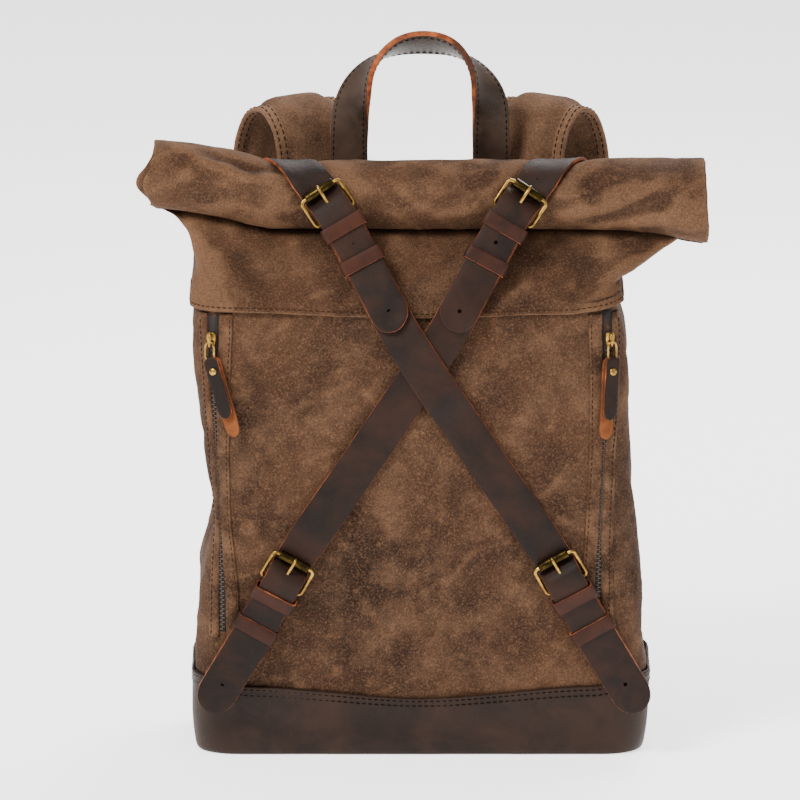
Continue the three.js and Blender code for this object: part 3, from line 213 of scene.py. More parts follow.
def canvas_material(name, dark, mid, pale):
    s = Shader(name)
    blotch = s.noise(10.0, 5.0, 0.62, 0.25)
    cloud = s.noise(30.0, 6.0, 0.66, 0.2, offset=(3.0, 1.0, 7.0))
    speck = s.noise(900.0, 3.0, 0.7)
    scuff = s.noise(80.0, 8.0, 0.78, 0.2, offset=(9.0, 4.0, 2.0))
    base = s.blend(s.remap(blotch, 0.38, 0.6), dark, mid)
    base = s.blend(s.remap(cloud, 0.46, 0.74, 0.0, 0.34), base, pale)
    base = s.blend(s.remap(scuff, 0.55, 0.72, 0.0, 0.42), base, pale)
    grain = s.noise(760.0, 4.0, 0.75, offset=(2.0, 8.0, 1.0))
    base = s.blend(s.remap(grain, 0.48, 0.72, 0.0, 0.5), base, pale)
    base = s.blend(s.remap(s.attribute("wear"), 0.0, 1.0, 0.0, 0.7), base, pale)
    # Painted shade: the cloth's hollows are blended toward dark brown by the attribute set from the mesh's
    # folds.
    base = s.blend(s.remap(s.attribute("shade"), 0.0, 1.0, 0.0, 0.8), base, srgb(22, 15, 11))
    base = s.blend(s.remap(speck, 0.32, 0.56, 0.5, 0.0), base, srgb(20, 13, 9))
    weave = s.noise(1000.0, 2.0, 0.6)
    normal = s.bump(weave, 0.4, 0.0006)
    normal = s.bump(scuff, 0.3, 0.0014, normal)
    normal = s.bump(s.noise(75.0, 4.0, 0.55), 0.35, 0.003, normal)
    return s.finish(base, s.remap(cloud, 0.3, 0.7, 0.9, 0.74), normal, Specular_IOR_Level=0.1)


def leather_material(name, color, worn, grain, roughness):
    s = Shader(name)
    cloud = s.noise(26.0, 6.0, 0.62, 0.5)
    streak = s.noise(120.0, 5.0, 0.65, 0.8, offset=(4.0, 2.0, 8.0))
    base = s.blend(s.remap(cloud, 0.4, 0.72), color, worn)
    base = s.blend(s.remap(streak, 0.56, 0.74, 0.0, 0.35), base, worn)
    base = s.blend(s.remap(s.attribute("wear"), 0.0, 1.0, 0.0, 0.8), base, worn)
    pores = s.voronoi(grain, "DISTANCE_TO_EDGE")
    normal = s.bump(s.remap(pores, 0.0, 0.18), 0.22, 0.0004)
    normal = s.bump(s.noise(grain * 0.5, 4.0, 0.6), 0.25, 0.0006, normal)
    rough = s.remap(cloud, 0.3, 0.7, roughness - 0.06, roughness + 0.1)
    return s.finish(base, rough, normal, Specular_IOR_Level=0.13)


def edge_material():
    s = Shader("cut_edge")
    streak = s.noise(260.0, 3.0, 0.6)
    base = s.blend(s.remap(streak, 0.35, 0.7), srgb(104, 48, 20), srgb(160, 82, 40))
    base = s.blend(s.remap(s.noise(38.0, 4.0, 0.6), 0.42, 0.56, 0.85, 0.0), base, srgb(44, 20, 11))
    return s.finish(base, 0.75, s.bump(streak, 0.4, 0.0005), Specular_IOR_Level=0.25)


def suede_material():
    s = Shader("suede_back")
    base = s.blend(s.remap(s.noise(80.0, 6.0, 0.7), 0.35, 0.7), srgb(88, 46, 20), srgb(124, 70, 34))
    return s.finish(base, 0.9, s.bump(s.noise(900.0), 0.3, 0.0005), Specular_IOR_Level=0.2)


def brass_material(name, bright, dull):
    s = Shader(name)
    tarnish = s.noise(160.0, 5.0, 0.65, 0.4)
    base = s.blend(s.remap(tarnish, 0.42, 0.68), bright, dull)
    # Painted shade: the part of the metal marked by the attribute is blended toward dark brown.
    base = s.blend(s.remap(s.attribute("shade"), 0.0, 1.0, 0.0, 0.85), base, srgb(38, 28, 18))
    rough = s.remap(tarnish, 0.35, 0.7, 0.24, 0.46)
    return s.finish(base, rough, s.bump(tarnish, 0.12, 0.0004), Metallic=1.0)


def thread_material(name, color):
    s = Shader(name)
    return s.finish(color, 0.9, s.bump(s.noise(1500.0), 0.3, 0.0003), Specular_IOR_Level=0.05)


def tape_material():
    s = Shader("woven_tape")
    base = s.blend(s.remap(s.noise(300.0), 0.35, 0.65), srgb(15, 10, 8), srgb(30, 20, 15))
    return s.finish(base, 0.85, s.bump(s.noise(1200.0, 2.0), 0.4, 0.0006))


def plain_material(name, color, roughness, **constants):
    return Shader(name).finish(color, roughness, None, **constants)


CANVAS = canvas_material("waxed_canvas", srgb(34, 21, 14), srgb(66, 44, 30), srgb(124, 91, 66))
CANVAS_PAD = canvas_material("pad_canvas", srgb(62, 43, 31), srgb(92, 66, 48), srgb(138, 104, 79))
BASE_LEATHER = leather_material("base_leather", srgb(27, 17, 12), srgb(46, 31, 23), 700.0, 0.48)
STRAP = leather_material("strap_leather", srgb(21, 13, 9), srgb(44, 25, 16), 900.0, 0.5)
KEEPER = leather_material("keeper_leather", srgb(34, 17, 11), srgb(58, 28, 16), 900.0, 0.46)
HANDLE = leather_material("handle_leather", srgb(44, 34, 28), srgb(74, 58, 48), 800.0, 0.32)
EDGE = edge_material()
SUEDE = suede_material()
BRASS = brass_material("antique_brass", srgb(168, 132, 66), srgb(70, 52, 26))
BRASS_DARK = plain_material("tooth_brass", srgb(48, 34, 20), 0.45)
# Near-black stand-in for the shade inside punched holes: painted shade.
HOLE_PAINTED_SHADE = plain_material("hole_painted_shade", srgb(6, 4, 3), 1.0, Specular_IOR_Level=0.0)
BRASS_OLD = brass_material("old_brass", srgb(58, 46, 20), srgb(18, 14, 8))
THREAD = thread_material("thread_brown", srgb(52, 34, 22))
THREAD_DARK = thread_material("thread_dark", srgb(20, 12, 8))
TAPE = tape_material()

# Meshes


def add_mesh(name, verts, faces, materials, replaces=(), indices=None, attributes=None, flat=False):
    """A mesh object from points in millimetres, riding on the body."""
    mesh = bpy.data.meshes.new(name)
    verts = np.asarray(verts, float).reshape(-1, 3) * MM
    mesh.from_pydata(verts.tolist(), [], [list(map(int, f)) for f in faces])
    for material in materials:
        mesh.materials.append(material)
    if indices is not None:
        mesh.polygons.foreach_set("material_index", np.asarray(indices, np.int32))
    mesh.polygons.foreach_set("use_smooth", np.full(len(mesh.polygons), not flat))
    for key, values in (attributes or {}).items():
        layer = mesh.attributes.new(key, "FLOAT", "POINT")
        layer.data.foreach_set("value", np.asarray(values, np.float32).ravel())
    mesh.update()
    obj = bpy.data.objects.new(name, mesh)
    bpy.context.scene.collection.objects.link(obj)
    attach(obj, BODY)
    if replaces:
        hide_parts(*replaces)
    return obj


def dress(node, ending, verts, faces, materials, slot, indices=None, **attributes):
    """A piece that takes the place of one node of the frame."""
    return add_mesh(f"{node}_{ending}", verts, faces, materials, [node], indices, attributes)


def grid_faces(rows, columns, closed, loop=False):
    """Quads of a grid of points stored row after row."""
    i = np.arange(rows if loop else rows - 1)[:, None]
    j = np.arange(columns if closed else columns - 1)[None, :]
    a = i * columns + j
    b = i * columns + (j + 1) % columns
    c = ((i + 1) % rows) * columns + (j + 1) % columns
    d = ((i + 1) % rows) * columns + j
    return np.stack([a, b, c, d], -1).reshape(-1, 4).tolist()


def tube_faces(rows, columns):
    """Quads of a tube of rings, and a cap on each end."""
    caps = [list(range(columns - 1, -1, -1)), [(rows - 1) * columns + k for k in range(columns)]]
    return grid_faces(rows, columns, True) + caps


def mirrored(rim, middle):
    """A whole profile, left to right, from its right half and its middle point."""
    return [(-across, height) for across, height in rim] + [middle] + rim[::-1]


def turned(profile, count, y=0.0):
    """Rings of a turned shape from pairs of radius and height."""
    a = np.arange(count) * 2 * math.pi / count
    rings = [np.stack([r * np.cos(a), y + r * np.sin(a), np.full(count, z)], -1) for r, z in profile]
    return np.array(rings)


def corner_arcs(left, right, low, high, r, count):
    """Centre and angles of each rounded corner of a rectangle, from the upper right one on."""
    centres = [(right - r, high - r), (left + r, high - r), (left + r, low + r), (right - r, low + r)]
    return [(x, y, np.radians(90 * k + np.linspace(0, 90, count))) for k, (x, y) in enumerate(centres)]


def join_grids(parts):
    """Several (verts, faces) as one."""
    verts, faces, count = [], [], 0
    for v, f in parts:
        verts.append(np.asarray(v, float).reshape(-1, 3))
        faces += [[k + count for k in face] for face in f]
        count += len(verts[-1])
    return np.vstack(verts), faces


# How far a stitch's middle stands out and its ends sink, and its sections: place and share of size.
STITCH_RISE, STITCH_SINK = 0.12, 0.35
STITCH_SECTIONS = [(-0.5, 0.25), (-0.36, 0.85), (0.0, 1.0), (0.36, 0.85), (0.5, 0.25)]


def stitch_bits(points, outs, length, thick, gap):
    """Thread stitches along a polyline: small rounded bars laid on the surface."""
    p = np.asarray(points, float)
    s = np.concatenate([[0], np.cumsum(np.linalg.norm(np.diff(p, axis=0), axis=1))])
    o = np.asarray(outs, float)
    if o.ndim == 1:
        o = np.tile(o, (len(p), 1))
    at = lambda x, a: np.stack([np.interp(x, s, a[:, k]) for k in range(3)], -1)
    starts = np.arange(0, s[-1] - length, length + gap)
    parts = []
    for x in starts:
        c = at(x + length / 2, p)
        way = unit(at(x + length, p) - at(x, p))
        out = unit(at(x + length / 2, o))
        side = unit(np.cross(way, out))
        rings = []
        for u, share in STITCH_SECTIONS:
            dip, radius = STITCH_RISE - STITCH_SINK * (2 * abs(u)) ** 2, share * thick / 2
            for a in np.arange(6) * math.pi / 3:
                lift = dip + math.sin(a) * radius
                rings.append(c + way * u * length + side * math.cos(a) * radius + out * lift)
        parts.append((np.array(rings), tube_faces(5, 6)))
    return parts


def add_stitches(name, runs, material, length, thick, gap):
    parts = []
    for points, outs in runs:
        parts += stitch_bits(points, outs, length, thick, gap)
    verts, faces = join_grids(parts)
    return add_mesh(name, verts, faces, [material])


# Lower tube

# z, left, right, front, back, corner
BODY_ROWS = [
    [3.2, -143.5, 142, -54.5, 54.5, 21],
    [18, -146.8, 145, -56.8, 56.8, 22],
    [40, -147.5, 147, -58, 58, 23],
    [56, -149, 148.6, -60.4, 58.6, 24],
    [72, -148.6, 146, -62, 59, 24],
    [112, -145.4, 146, -64.2, 59.6, 25],
    [134, -141.4, 143.5, -64.6, 59.4, 26],
    [157, -137.4, 141, -64.6, 59, 26],
    [180, -139.6, 139, -64.2, 58.4, 26],
    [205, -143, 137.6, -63.4, 57.6, 25],
    [230, -147, 137, -62.2, 56.6, 24],
    [256, -150, 136, -60.8, 55.4, 23],
    [278, -150.6, 134.4, -59.2, 54, 22],
    [288, -149.6, 131.4, -58, 53, 21],
    [295, -148.8, 129.6, -57, 52, 20],
    [304, -147.4, 128.6, -55.6, 51, 19],
]
BODY_FOLDS = [
    ("front", 0, 150, 0, 190, 70, 3.4),
    ("front", -98, 250, -80, 186, 13, -1.8),
    ("front", -90, 118, -104, 84, 12, -1.4),
    ("front", 96, 244, 70, 206, 12, -1.6),
    ("front", 92, 112, 72, 150, 13, -1.6),
    ("front", -60, 286, 40, 280, 10, -1.2),
    ("left", 20, 262, -38, 232, 12, -2.4),
    ("left", 30, 196, -30, 158, 15, -4.2),
    ("left", 34, 118, -24, 138, 12, 2.2),
    ("left", 0, 70, 40, 96, 12, -1.6),
    ("right", 24, 252, -34, 226, 12, -2.2),
    ("right", 30, 150, -30, 186, 14, -2.6),
    ("right", -30, 70, 20, 72, 9, -2.4),
    ("back", -60, 210, 50, 226, 20, -2.2),
    ("back", 40, 110, -50, 96, 20, -2.2),
]
# Finer creases that only show: face, line, width, height.
BODY_CREASES = [
    ("front", -112, 262, -98, 214, 4.0, -0.9),
    ("front", -104, 206, -86, 170, 4.5, -0.8),
    ("front", -116, 176, -100, 150, 4.0, -0.8),
    ("front", -70, 240, -40, 214, 5.0, -0.6),
    ("front", 60, 236, 92, 222, 5.0, -0.7),
    ("front", 104, 190, 84, 160, 4.5, -0.8),
    ("front", -80, 84, -48, 70, 5.0, -0.8),
    ("front", 50, 84, 92, 66, 5.0, -0.8),
    ("front", -30, 110, 20, 96, 6.0, -0.5),
    ("front", -30, 268, 46, 262, 5.0, -0.5),
    ("left", -30, 280, 24, 262, 5, -1.2),
    ("left", -40, 214, 10, 190, 5, -1.2),
    ("left", -36, 176, 20, 150, 5, -1.4),
    ("left", -40, 120, 0, 96, 5, -1.0),
    ("left", -30, 62, 24, 74, 5, -1.0),
    ("right", -34, 270, 10, 250, 5, -1.2),
    ("right", -36, 120, 16, 140, 5, -1.2),
]
FACE_NORMALS = {"front": (0, -1), "back": (0, 1), "left": (-1, 0), "right": (1, 0)}


def line_distance(a, b, a0, b0, a1, b1):
    da, db = a1 - a0, b1 - b0
    t = np.clip(((a - a0) * da + (b - b0) * db) / (da * da + db * db), 0, 1)
    return np.hypot(a - a0 - t * da, b - b0 - t * db)


def fold_height(folds, x, y, z, nx, nd):
    total = np.zeros(np.broadcast(x, y, z).shape)
    for face, a0, z0, a1, z1, width, height in folds:
        fx, fd = FACE_NORMALS[face]
        facing = np.maximum(0, nx * fx + nd * fd)
        along = x if fx == 0 else y
        far = line_distance(along, z, a0, z0, a1, z1) / width
        total = total + height * facing**2 * np.exp(-(far**2))
    return total


def rounded_rect(left, right, depth, corner, steps):
    """Points of a rounded rectangle and their outward directions: x, d, nx, nd, front side first."""
    front, side, arc = steps
    r = min(corner, depth / 2)
    out = []
    bends = [(left + r, r, -180), (right - r, r, -90), (right - r, depth - r, 0), (left + r, depth - r, 90)]
    for c, (cx, cy, start) in enumerate(bends):
        a = np.radians(start + 90 * np.arange(arc + 1) / arc)
        out += list(zip(cx + r * np.cos(a), cy + r * np.sin(a), np.cos(a), np.sin(a)))
        nx, ny, start2 = bends[(c + 1) % 4]
        e = math.radians(start2)
        last, target = out[-1], (nx + r * math.cos(e), ny + r * math.sin(e))
        n = front if c % 2 == 0 else side
        for i in range(1, n):
            t = i / n
            out.append((mix(last[0], target[0], t), mix(last[1], target[1], t), last[2], last[3]))
    return np.array(out)


# Steps of a ring of the lower tube: along the front, along a side and round a corner.
BODY_STEPS = (110, 40, 10)
BODY_LOW, BODY_HIGH, BODY_RINGS = 4, 303, 196


def body_surface(zs):
    """Grid of points, outward directions and fold heights of the lower tube at heights zs."""
    points, normals, heights = [], [], []
    for z, left, right, front, back, corner in at_key(BODY_ROWS, 0, zs):
        ring = rounded_rect(left, right, back - front, corner, BODY_STEPS)
        x, y, nx, nd = ring[:, 0], front + ring[:, 1], ring[:, 2], ring[:, 3]
        push = fold_height(BODY_FOLDS + BODY_CREASES, x, y, z, nx, nd)
        points.append(np.stack([x + nx * push, y + nd * push, np.full(len(x), z)], -1))
        normals.append(np.stack([nx, nd, np.zeros(len(x))], -1))
        heights.append(push)
    return np.array(points), np.array(normals), np.array(heights)


def wear_of(grid, k=4):
    """How far each point of a grid stands out of those k steps away, for pale worn ridges and for painted
    shade in the hollows.
    """
    p = grid
    up = np.roll(p, k, 0)
    down = np.roll(p, -k, 0)
    up[:k], down[-k:] = p[:k], p[-k:]
    around = (up + down + np.roll(p, k, 1) + np.roll(p, -k, 1)) / 4
    return p - around


def crumple(points, size, seed, height):
    """Sharp small ridges where smooth noise passes through zero."""
    return height * np.exp(-((wobble(points, size, seed) / 0.07) ** 2))


def body_soft(points):
    """Softness of the cloth of the lower tube: how far each point stands out."""
    broad = wobble(points, 46, 1.7) * 0.9 + wobble(points, 19, 5.2) * 0.5 + wobble(points, 8, 8.8) * 0.14
    pucker = wobble(points * np.array([1, 1, 0.15]), 5.5, 3.7) * 0.5 * smooth((points[:, 2] - 280) / 14)
    return broad + pucker + crumple(points, 38, 2.9, 0.2) + crumple(points, 17, 6.6, 0.1) - 0.1


def canvas_body():
    points, normals, height = body_surface(np.linspace(BODY_LOW, BODY_HIGH, BODY_RINGS))
    soft = body_soft(points.reshape(-1, 3)).reshape(height.shape)
    points = points + normals * soft[..., None]
    bulge = wear_of(height * 0.4 + soft)
    wear = smooth((bulge - 0.05) / 0.35) * 0.4
    # Painted shade darkens the hollows between folds.
    shade = smooth((-bulge - 0.05) / 0.35) * 0.3
    faces = grid_faces(*height.shape, True)
    dress("canvas_body", "cloth", points, faces, [CANVAS], "canvas", wear=wear, shade=shade)


# Rolled collar

COLLAR_ROWS = [
    [-60.4, 294, 55, 294, -151.8, 133.4, 22],
    [-59.6, 298, 54, 298, -151.4, 132.2, 22],
    [-54.6, 306, 51, 306, -150.6, 131.6, 21],
    [-46.6, 316, 45.6, 316, -150.2, 135, 19],
    [-37.4, 326, 38, 326, -150.2, 150, 15],
    [-28, 335, 29, 335, -153.6, 162, 11],
    [-17.6, 341.6, 19, 341, -164, 172, 7],
    [-8, 344.2, 9, 342.2, -178, 181, 3.4],
]
COLLAR_FOLDS = [
    ("front", -140, 338, -106, 316, 9, -2),
    ("front", -84, 334, -70, 312, 11, 1.4),
    ("front", 20, 334, -6, 314, 12, -1.2),
    ("front", 96, 332, 118, 308, 10, -2.2),
    ("front", 60, 330, 70, 310, 10, 1.2),
    ("back", -80, 326, -60, 306, 12, -1.4),
    ("back", 90, 326, 70, 306, 12, -1.4),
    ("front", -120, 326, -98, 306, 3.5, -0.8),
    ("front", -40, 330, -52, 306, 4, -0.6),
    ("front", 44, 328, 36, 304, 4, -0.6),
    ("front", 118, 326, 98, 304, 3.5, -1.0),
    ("left", -46, 316, 10, 320, 6, -2.4),
    ("front", -150, 322, -136, 308, 4, 1.2),
    ("front", -160, 344, -148, 330, 3, -1.6),
    ("right", -30, 300, 20, 320, 5, -1.6),
    ("front", 168, 342, 136, 322, 3.5, 1.8),
    ("front", 150, 322, 134, 312, 4, -2),
    ("front", 128, 326, 112, 306, 5, -1.2),
    ("right", -44, 312, 20, 316, 4, -3),
]
ROLL_Y, ROLL_Z, ROLL_RADIUS, ROLL_PITCH = -12, 364.8, 24.8, 7.6
ROLL_START, ROLL_TURNS, LIP = -62, 2.2, 5.6
# x, how far the roll stands higher than in the middle, and how much fatter it is
SAG_ROWS = [
    [-190, 15.8, 0.98],
    [-150, 11.6, 1.0],
    [-126, 7.4, 1.02],
    [-112, 3.2, 1.01],
    [-98, 0.4, 1.0],
    [-50, 0.2, 1.0],
    [0, 0, 0.99],
    [70, 0.4, 1.01],
    [130, 0.4, 1.05],
    [156, -0.8, 1.12],
    [174, -3, 1.22],
    [192, -4.4, 1.29],
]
# x, turn, x, turn, width, height
ROLL_FOLDS = [
    (-154, 112, -140, 135, 4.5, 1.5),
    (-140, 135, -114, 143, 4.5, 1.7),
    (-114, 143, -90, 134, 4.5, 1.4),
    (-142, 118, -114, 126, 6, -2.2),
    (-114, 126, -92, 118, 6, -1.8),
    (-160, 205, -110, 170, 9, -1.4),
    (-30, 120, 40, 140, 14, -1.2),
    (110, 150, 168, 96, 12, -1.4),
    (154, 176, 112, 222, 6, -4),
    (176, 190, 148, 226, 11, 2.4),
    (140, 160, 96, 200, 9, 1.4),
    (-60, 168, -10, 176, 5, -0.6),
    (10, 200, 60, 184, 6, 0.7),
    (90, 182, 150, 178, 5, -0.8),
    (-128, 224, -80, 214, 6, -0.8),
]
# turn, how far from the crossing a strap passes over the roll
STRAP_TRACK = [[160, 68.5], [140, 74], [115, 80], [90, 86], [65, 91], [40, 95.5]]


def roll_points(turn, out, x, outer):
    sag = at_key(SAG_ROWS, 0, x)
    rise, swell = sag[:, 1], sag[:, 2]
    fold = np.zeros(len(x))
    if outer:
        a = math.radians(turn) * ROLL_RADIUS
        for x0, t0, x1, t1, width, height in ROLL_FOLDS:
            a0, a1 = math.radians(t0) * ROLL_RADIUS, math.radians(t1) * ROLL_RADIUS
            far = line_distance(x, a, x0, a0, x1, a1) / width
            fold = fold + height * np.exp(-(far**2))
        fold *= smooth((turn - ROLL_START - 40) / 30) * smooth((ROLL_START + 290 - turn) / 30)
    away = np.abs(x - 2) - at_key(STRAP_TRACK, 0, [turn])[0, 1]
    press = 3.6 * np.exp(-((away / 18) ** 4)) * smooth((turn - 20) / 30) * smooth((190 - turn) / 30)
    radius = (ROLL_RADIUS - ROLL_PITCH * (turn - ROLL_START) / 360) * swell + out + fold - press
    a = math.radians(turn)
    return np.stack([x, ROLL_Y + radius * math.cos(a), ROLL_Z + rise + radius * math.sin(a)], -1)


COLLAR_STEPS = (96, 22, 8)


# x, how far the hem's edge stands higher than in the middle
HEM_ROWS = [[-152, 5], [-128, 4.3], [-92, 3.4], [-50, 1], [6, 0]]
HEM_ROWS += [[43, 1], [70, 2.4], [98, 2.8], [116, 5.2], [132, 8]]
HEM_LOW = 294
# How far in and how far up the turned-in edge runs
HEM_INSIDE = [(2.4, 7), (2.4, 1.6), (1.7, 0.3), (0.8, 0.0), (0.2, 0.5)]


def collar_ring(row, lift):
    fy, fz, by, bz, left, right, corner = row
    depth = math.hypot(by - fy, bz - fz)
    ring = rounded_rect(left, right, depth, corner, COLLAR_STEPS)
    t = ring[:, 1] / depth
    y, z = mix(fy, by, t), mix(fz, bz, t)
    push = fold_height(COLLAR_FOLDS, ring[:, 0], y, z, ring[:, 2], ring[:, 3])
    sag = at_key(SAG_ROWS, 0, ring[:, 0])[:, 1] * lift
    hem = at_key(HEM_ROWS, 0, ring[:, 0])[:, 1] * (1 - smooth((z - HEM_LOW) / 26))
    return np.stack([ring[:, 0] + ring[:, 2] * push, y + ring[:, 3] * push, z + sag + hem], -1)


def hem_inner_rings():
    """The turned-in edge of the hem, from inside to the fold."""
    outer = collar_ring(COLLAR_ROWS[0], 0)
    ring = rounded_rect(COLLAR_ROWS[0][4], COLLAR_ROWS[0][5], 115.4, 22, COLLAR_STEPS)
    rings = []
    for inset, up in HEM_INSIDE:
        shift = [ring[:, 2] * inset, ring[:, 3] * inset, 0 * ring[:, 2] - up + 0.8]
        rings.append(outer - np.stack(shift, -1))
    return rings


def hem_run():
    """Line of the hem's stitches and its outward directions."""
    rows = spline_rows(COLLAR_ROWS, [0.72])
    ring = collar_ring(rows[0], 0)
    middle = np.array([(ring[:, 0].min() + ring[:, 0].max()) / 2, 0, 0])
    side = np.roll(ring, -2, 0) - np.roll(ring, 2, 0)
    out = unit(np.stack([side[:, 1], -side[:, 0], 0 * side[:, 0]], -1))
    out = np.where(((ring - middle) * out).sum(-1, keepdims=True) < 0, -out, out)
    return np.vstack([ring, ring[:1]]) + np.vstack([out, out[:1]]) * 0.15, np.vstack([out, out[:1]])


def roll_ring(turn):
    left = -175.3 - 11.5 * math.exp(-(((turn - 188) / 42) ** 2))
    right = 185.8 + 3 * math.exp(-(((turn - 215) / 80) ** 2))
    ring = rounded_rect(left, right, LIP, LIP / 2, COLLAR_STEPS)
    front, side, arc = COLLAR_STEPS
    end_count = side + arc * 2 + 1
    shape = np.linspace(0, 1, end_count)
    lobe = np.abs(np.sin(2 * math.pi * shape)) ** 0.7
    depth = LIP * (0.5 - 0.5 * np.cos(math.pi * shape))
    ring[:, 1] = np.clip(ring[:, 1], 0, LIP)
    start = arc + front
    ring[start : start + end_count, 0] = right - 2.8 + 2.8 * lobe
    ring[start : start + end_count, 1] = depth
    other = start + end_count + front - 1
    index = np.arange(other, other + end_count) % len(ring)
    ring[index, 0] = left + 2.8 - 2.8 * lobe
    ring[index, 1] = LIP - depth
    # The outer layer of the left end is shorter than the inner one.
    short = 5 * math.exp(-(((turn - 185) / 50) ** 2))
    ring[:, 0] += short * smooth(ring[:, 1] / LIP * 2 - 0.6) * smooth((left + 34 - ring[:, 0]) / 34)
    base = roll_points(turn, 0.0, ring[:, 0], turn < ROLL_START + 300)
    a = math.radians(turn)
    return base + (ring[:, 1:2] - LIP / 2) * np.array([0, math.cos(a), math.sin(a)])


def collar_rows(count):
    """Collar rows interpolated smoothly between the table's rows."""
    t = np.linspace(0, len(COLLAR_ROWS) - 1, count)
    return spline_rows(COLLAR_ROWS, t), t / (len(COLLAR_ROWS) - 1)


def grid_normals(points):
    """Outward directions of a closed-column grid from its neighbours."""
    du = np.roll(points, -1, 1) - np.roll(points, 1, 1)
    dv = np.gradient(points, axis=0)
    return unit(np.cross(du, dv))


def roll_top_collar():
    rows, t = collar_rows(46)
    rings = hem_inner_rings() + [collar_ring(r, float(smooth(k))) for r, k in zip(rows, t)]
    turns = list(np.arange(0, 330, 4.0)) + list(np.arange(330, 360 * ROLL_TURNS, 9.0))
    rings += [roll_ring(ROLL_START + turn) for turn in turns]
    points = np.array(rings)
    normals = grid_normals(points)
    flat = points.reshape(-1, 3)
    soft = wobble(flat, 42, 2.3) * 0.8 + wobble(flat, 17, 6.1) * 0.5 + wobble(flat, 7, 4.4) * 0.16
    soft = soft + crumple(flat, 34, 5.9, 0.3) + crumple(flat, 15, 8.6, 0.14) - 0.1
    count, cols = points.shape[:2]
    # The hem and the roll's inner turns are stiffer than the rest.
    weight = np.ones(count)
    weight[:12] = 0.35
    weight[130:] = 0.2
    points = points + normals * soft.reshape(count, cols)[..., None] * weight[:, None, None]
    bulge = (wear_of(points) * normals).sum(-1)
    # Pale worn ridges, and painted shade darkening the hollows between folds.
    wear, shade = smooth((bulge - 0.3) / 0.6) * 0.5, smooth((-bulge - 0.1) / 0.4) * 0.3
    faces = grid_faces(count, cols, True)
    dress("roll_top_collar", "cloth", points, faces, [CANVAS], "canvas", wear=wear, shade=shade)


# Base

BASE_ROWS = [
    [0, -144, 142.6, -57.6, 57.6, 23],
    [1.4, -147.6, 146, -60, 59.6, 24],
    [8, -149.4, 148.2, -60.8, 60.4, 24],
    [22, -150.8, 150, -60.6, 60.6, 24],
    [37, -150.6, 150.6, -61.2, 61, 25],
    [46, -150.8, 150.8, -61.8, 61.4, 25.5],
]
BASE_LOW_EDGE = 38


def base_ring(t, inset=0.0):
    z, left, right, front, back, corner = spline_rows(BASE_ROWS, [t])[0]
    ring = rounded_rect(left + inset, right - inset, back - front - 2 * inset, corner - inset, (90, 34, 12))
    normals = np.stack([ring[:, 2], ring[:, 3], np.zeros(len(ring))], -1)
    return np.stack([ring[:, 0], front + inset + ring[:, 1], np.full(len(ring), max(z, 0.0))], -1), normals


def base_dip(points):
    """The cup's upper edge is lower in the middle of the front and back, and higher at the corners."""
    x, y = np.abs(points[..., 0]), np.abs(points[..., 1])
    edge = BASE_LOW_EDGE + 8 * smooth(x / 118) + 7 * smooth((x - 112) / 36)
    edge = edge - 1.5 * smooth((30 - y) / 30) * (x > 140)
    out = points.copy()
    out[..., 2] = points[..., 2] * mix(1, edge / BASE_ROWS[-1][0], smooth(points[..., 2] / 20))
    return out


def leather_base():
    rings, normals = zip(*[base_ring(t) for t in np.linspace(0, 5, 44)])
    points, normals = np.array(rings), np.array(normals)
    flat = points.reshape(-1, 3)
    soft = (wobble(flat, 34, 3.3) * 0.7 + wobble(flat, 12, 7.1) * 0.25).reshape(points.shape[:2])
    soft[:3] = 0
    points = points + normals * soft[..., None]
    top, _ = base_ring(5.0, 1.0)
    top[:, 2] += 0.9
    inner, _ = base_ring(5.0, 2.0)
    low, _ = base_ring(4.2, 2.0)
    points = base_dip(np.concatenate([points, top[None], inner[None], low[None]]))
    rows, cols = points.shape[:2]
    faces = grid_faces(rows, cols, True) + [list(range(cols - 1, -1, -1))]
    bulge = (wear_of(points)[:-3] * normals).sum(-1)
    wear = np.zeros((rows, cols))
    wear[:-3] = smooth((bulge - 0.02) / 0.3) * 0.5
    dress("leather_base", "cup", points, faces, [BASE_LEATHER], "base_leather", wear=wear)


class Path:
    """A strap's supporting line: place, way ahead, way outwards and way across by distance."""

    def __init__(self, stations, zero_z=None):
        points = np.array([p for p, _ in stations])
        normals = np.array([n for _, n in stations], float)
        self.points, marks, self.lengths = curve_points(points, 0.5)
        ahead = unit(np.gradient(self.points, axis=0))
        i = np.clip(np.floor(marks).astype(int), 0, len(normals) - 2)
        f = (marks - i)[:, None]
        rough = normals[i] * (1 - f) + normals[i + 1] * f
        self.out = unit(rough - ahead * (rough * ahead).sum(-1, keepdims=True))
        self.ahead = ahead
        zero = 0.0
        if zero_z is not None:
            zero = self.lengths[np.argmax(self.points[:, 2] >= zero_z)]
        self.lengths = self.lengths - zero
        self.start, self.end = self.lengths[0], self.lengths[-1]

    def pick(self, array, s):
        return np.stack([np.interp(s, self.lengths, array[:, k]) for k in range(3)], -1)

    def at(self, s):
        s = np.atleast_1d(np.asarray(s, float))
        ahead = unit(self.pick(self.ahead, s))
        out = self.pick(self.out, s)
        out = unit(out - ahead * (out * ahead).sum(-1, keepdims=True))
        return self.pick(self.points, s), ahead, out, np.cross(ahead, out)

    def distance_at(self, z):
        """The distance at which the line first reaches a height, going up or down from its zero."""
        s = self.lengths
        if z > self.pick(self.points, [0.0])[0, 2]:
            k = np.argmax((s >= 0) & (self.points[:, 2] >= z))
        else:
            below = np.where((s <= 0) & (self.points[:, 2] <= z))[0]
            k = below[-1]
        return s[k]


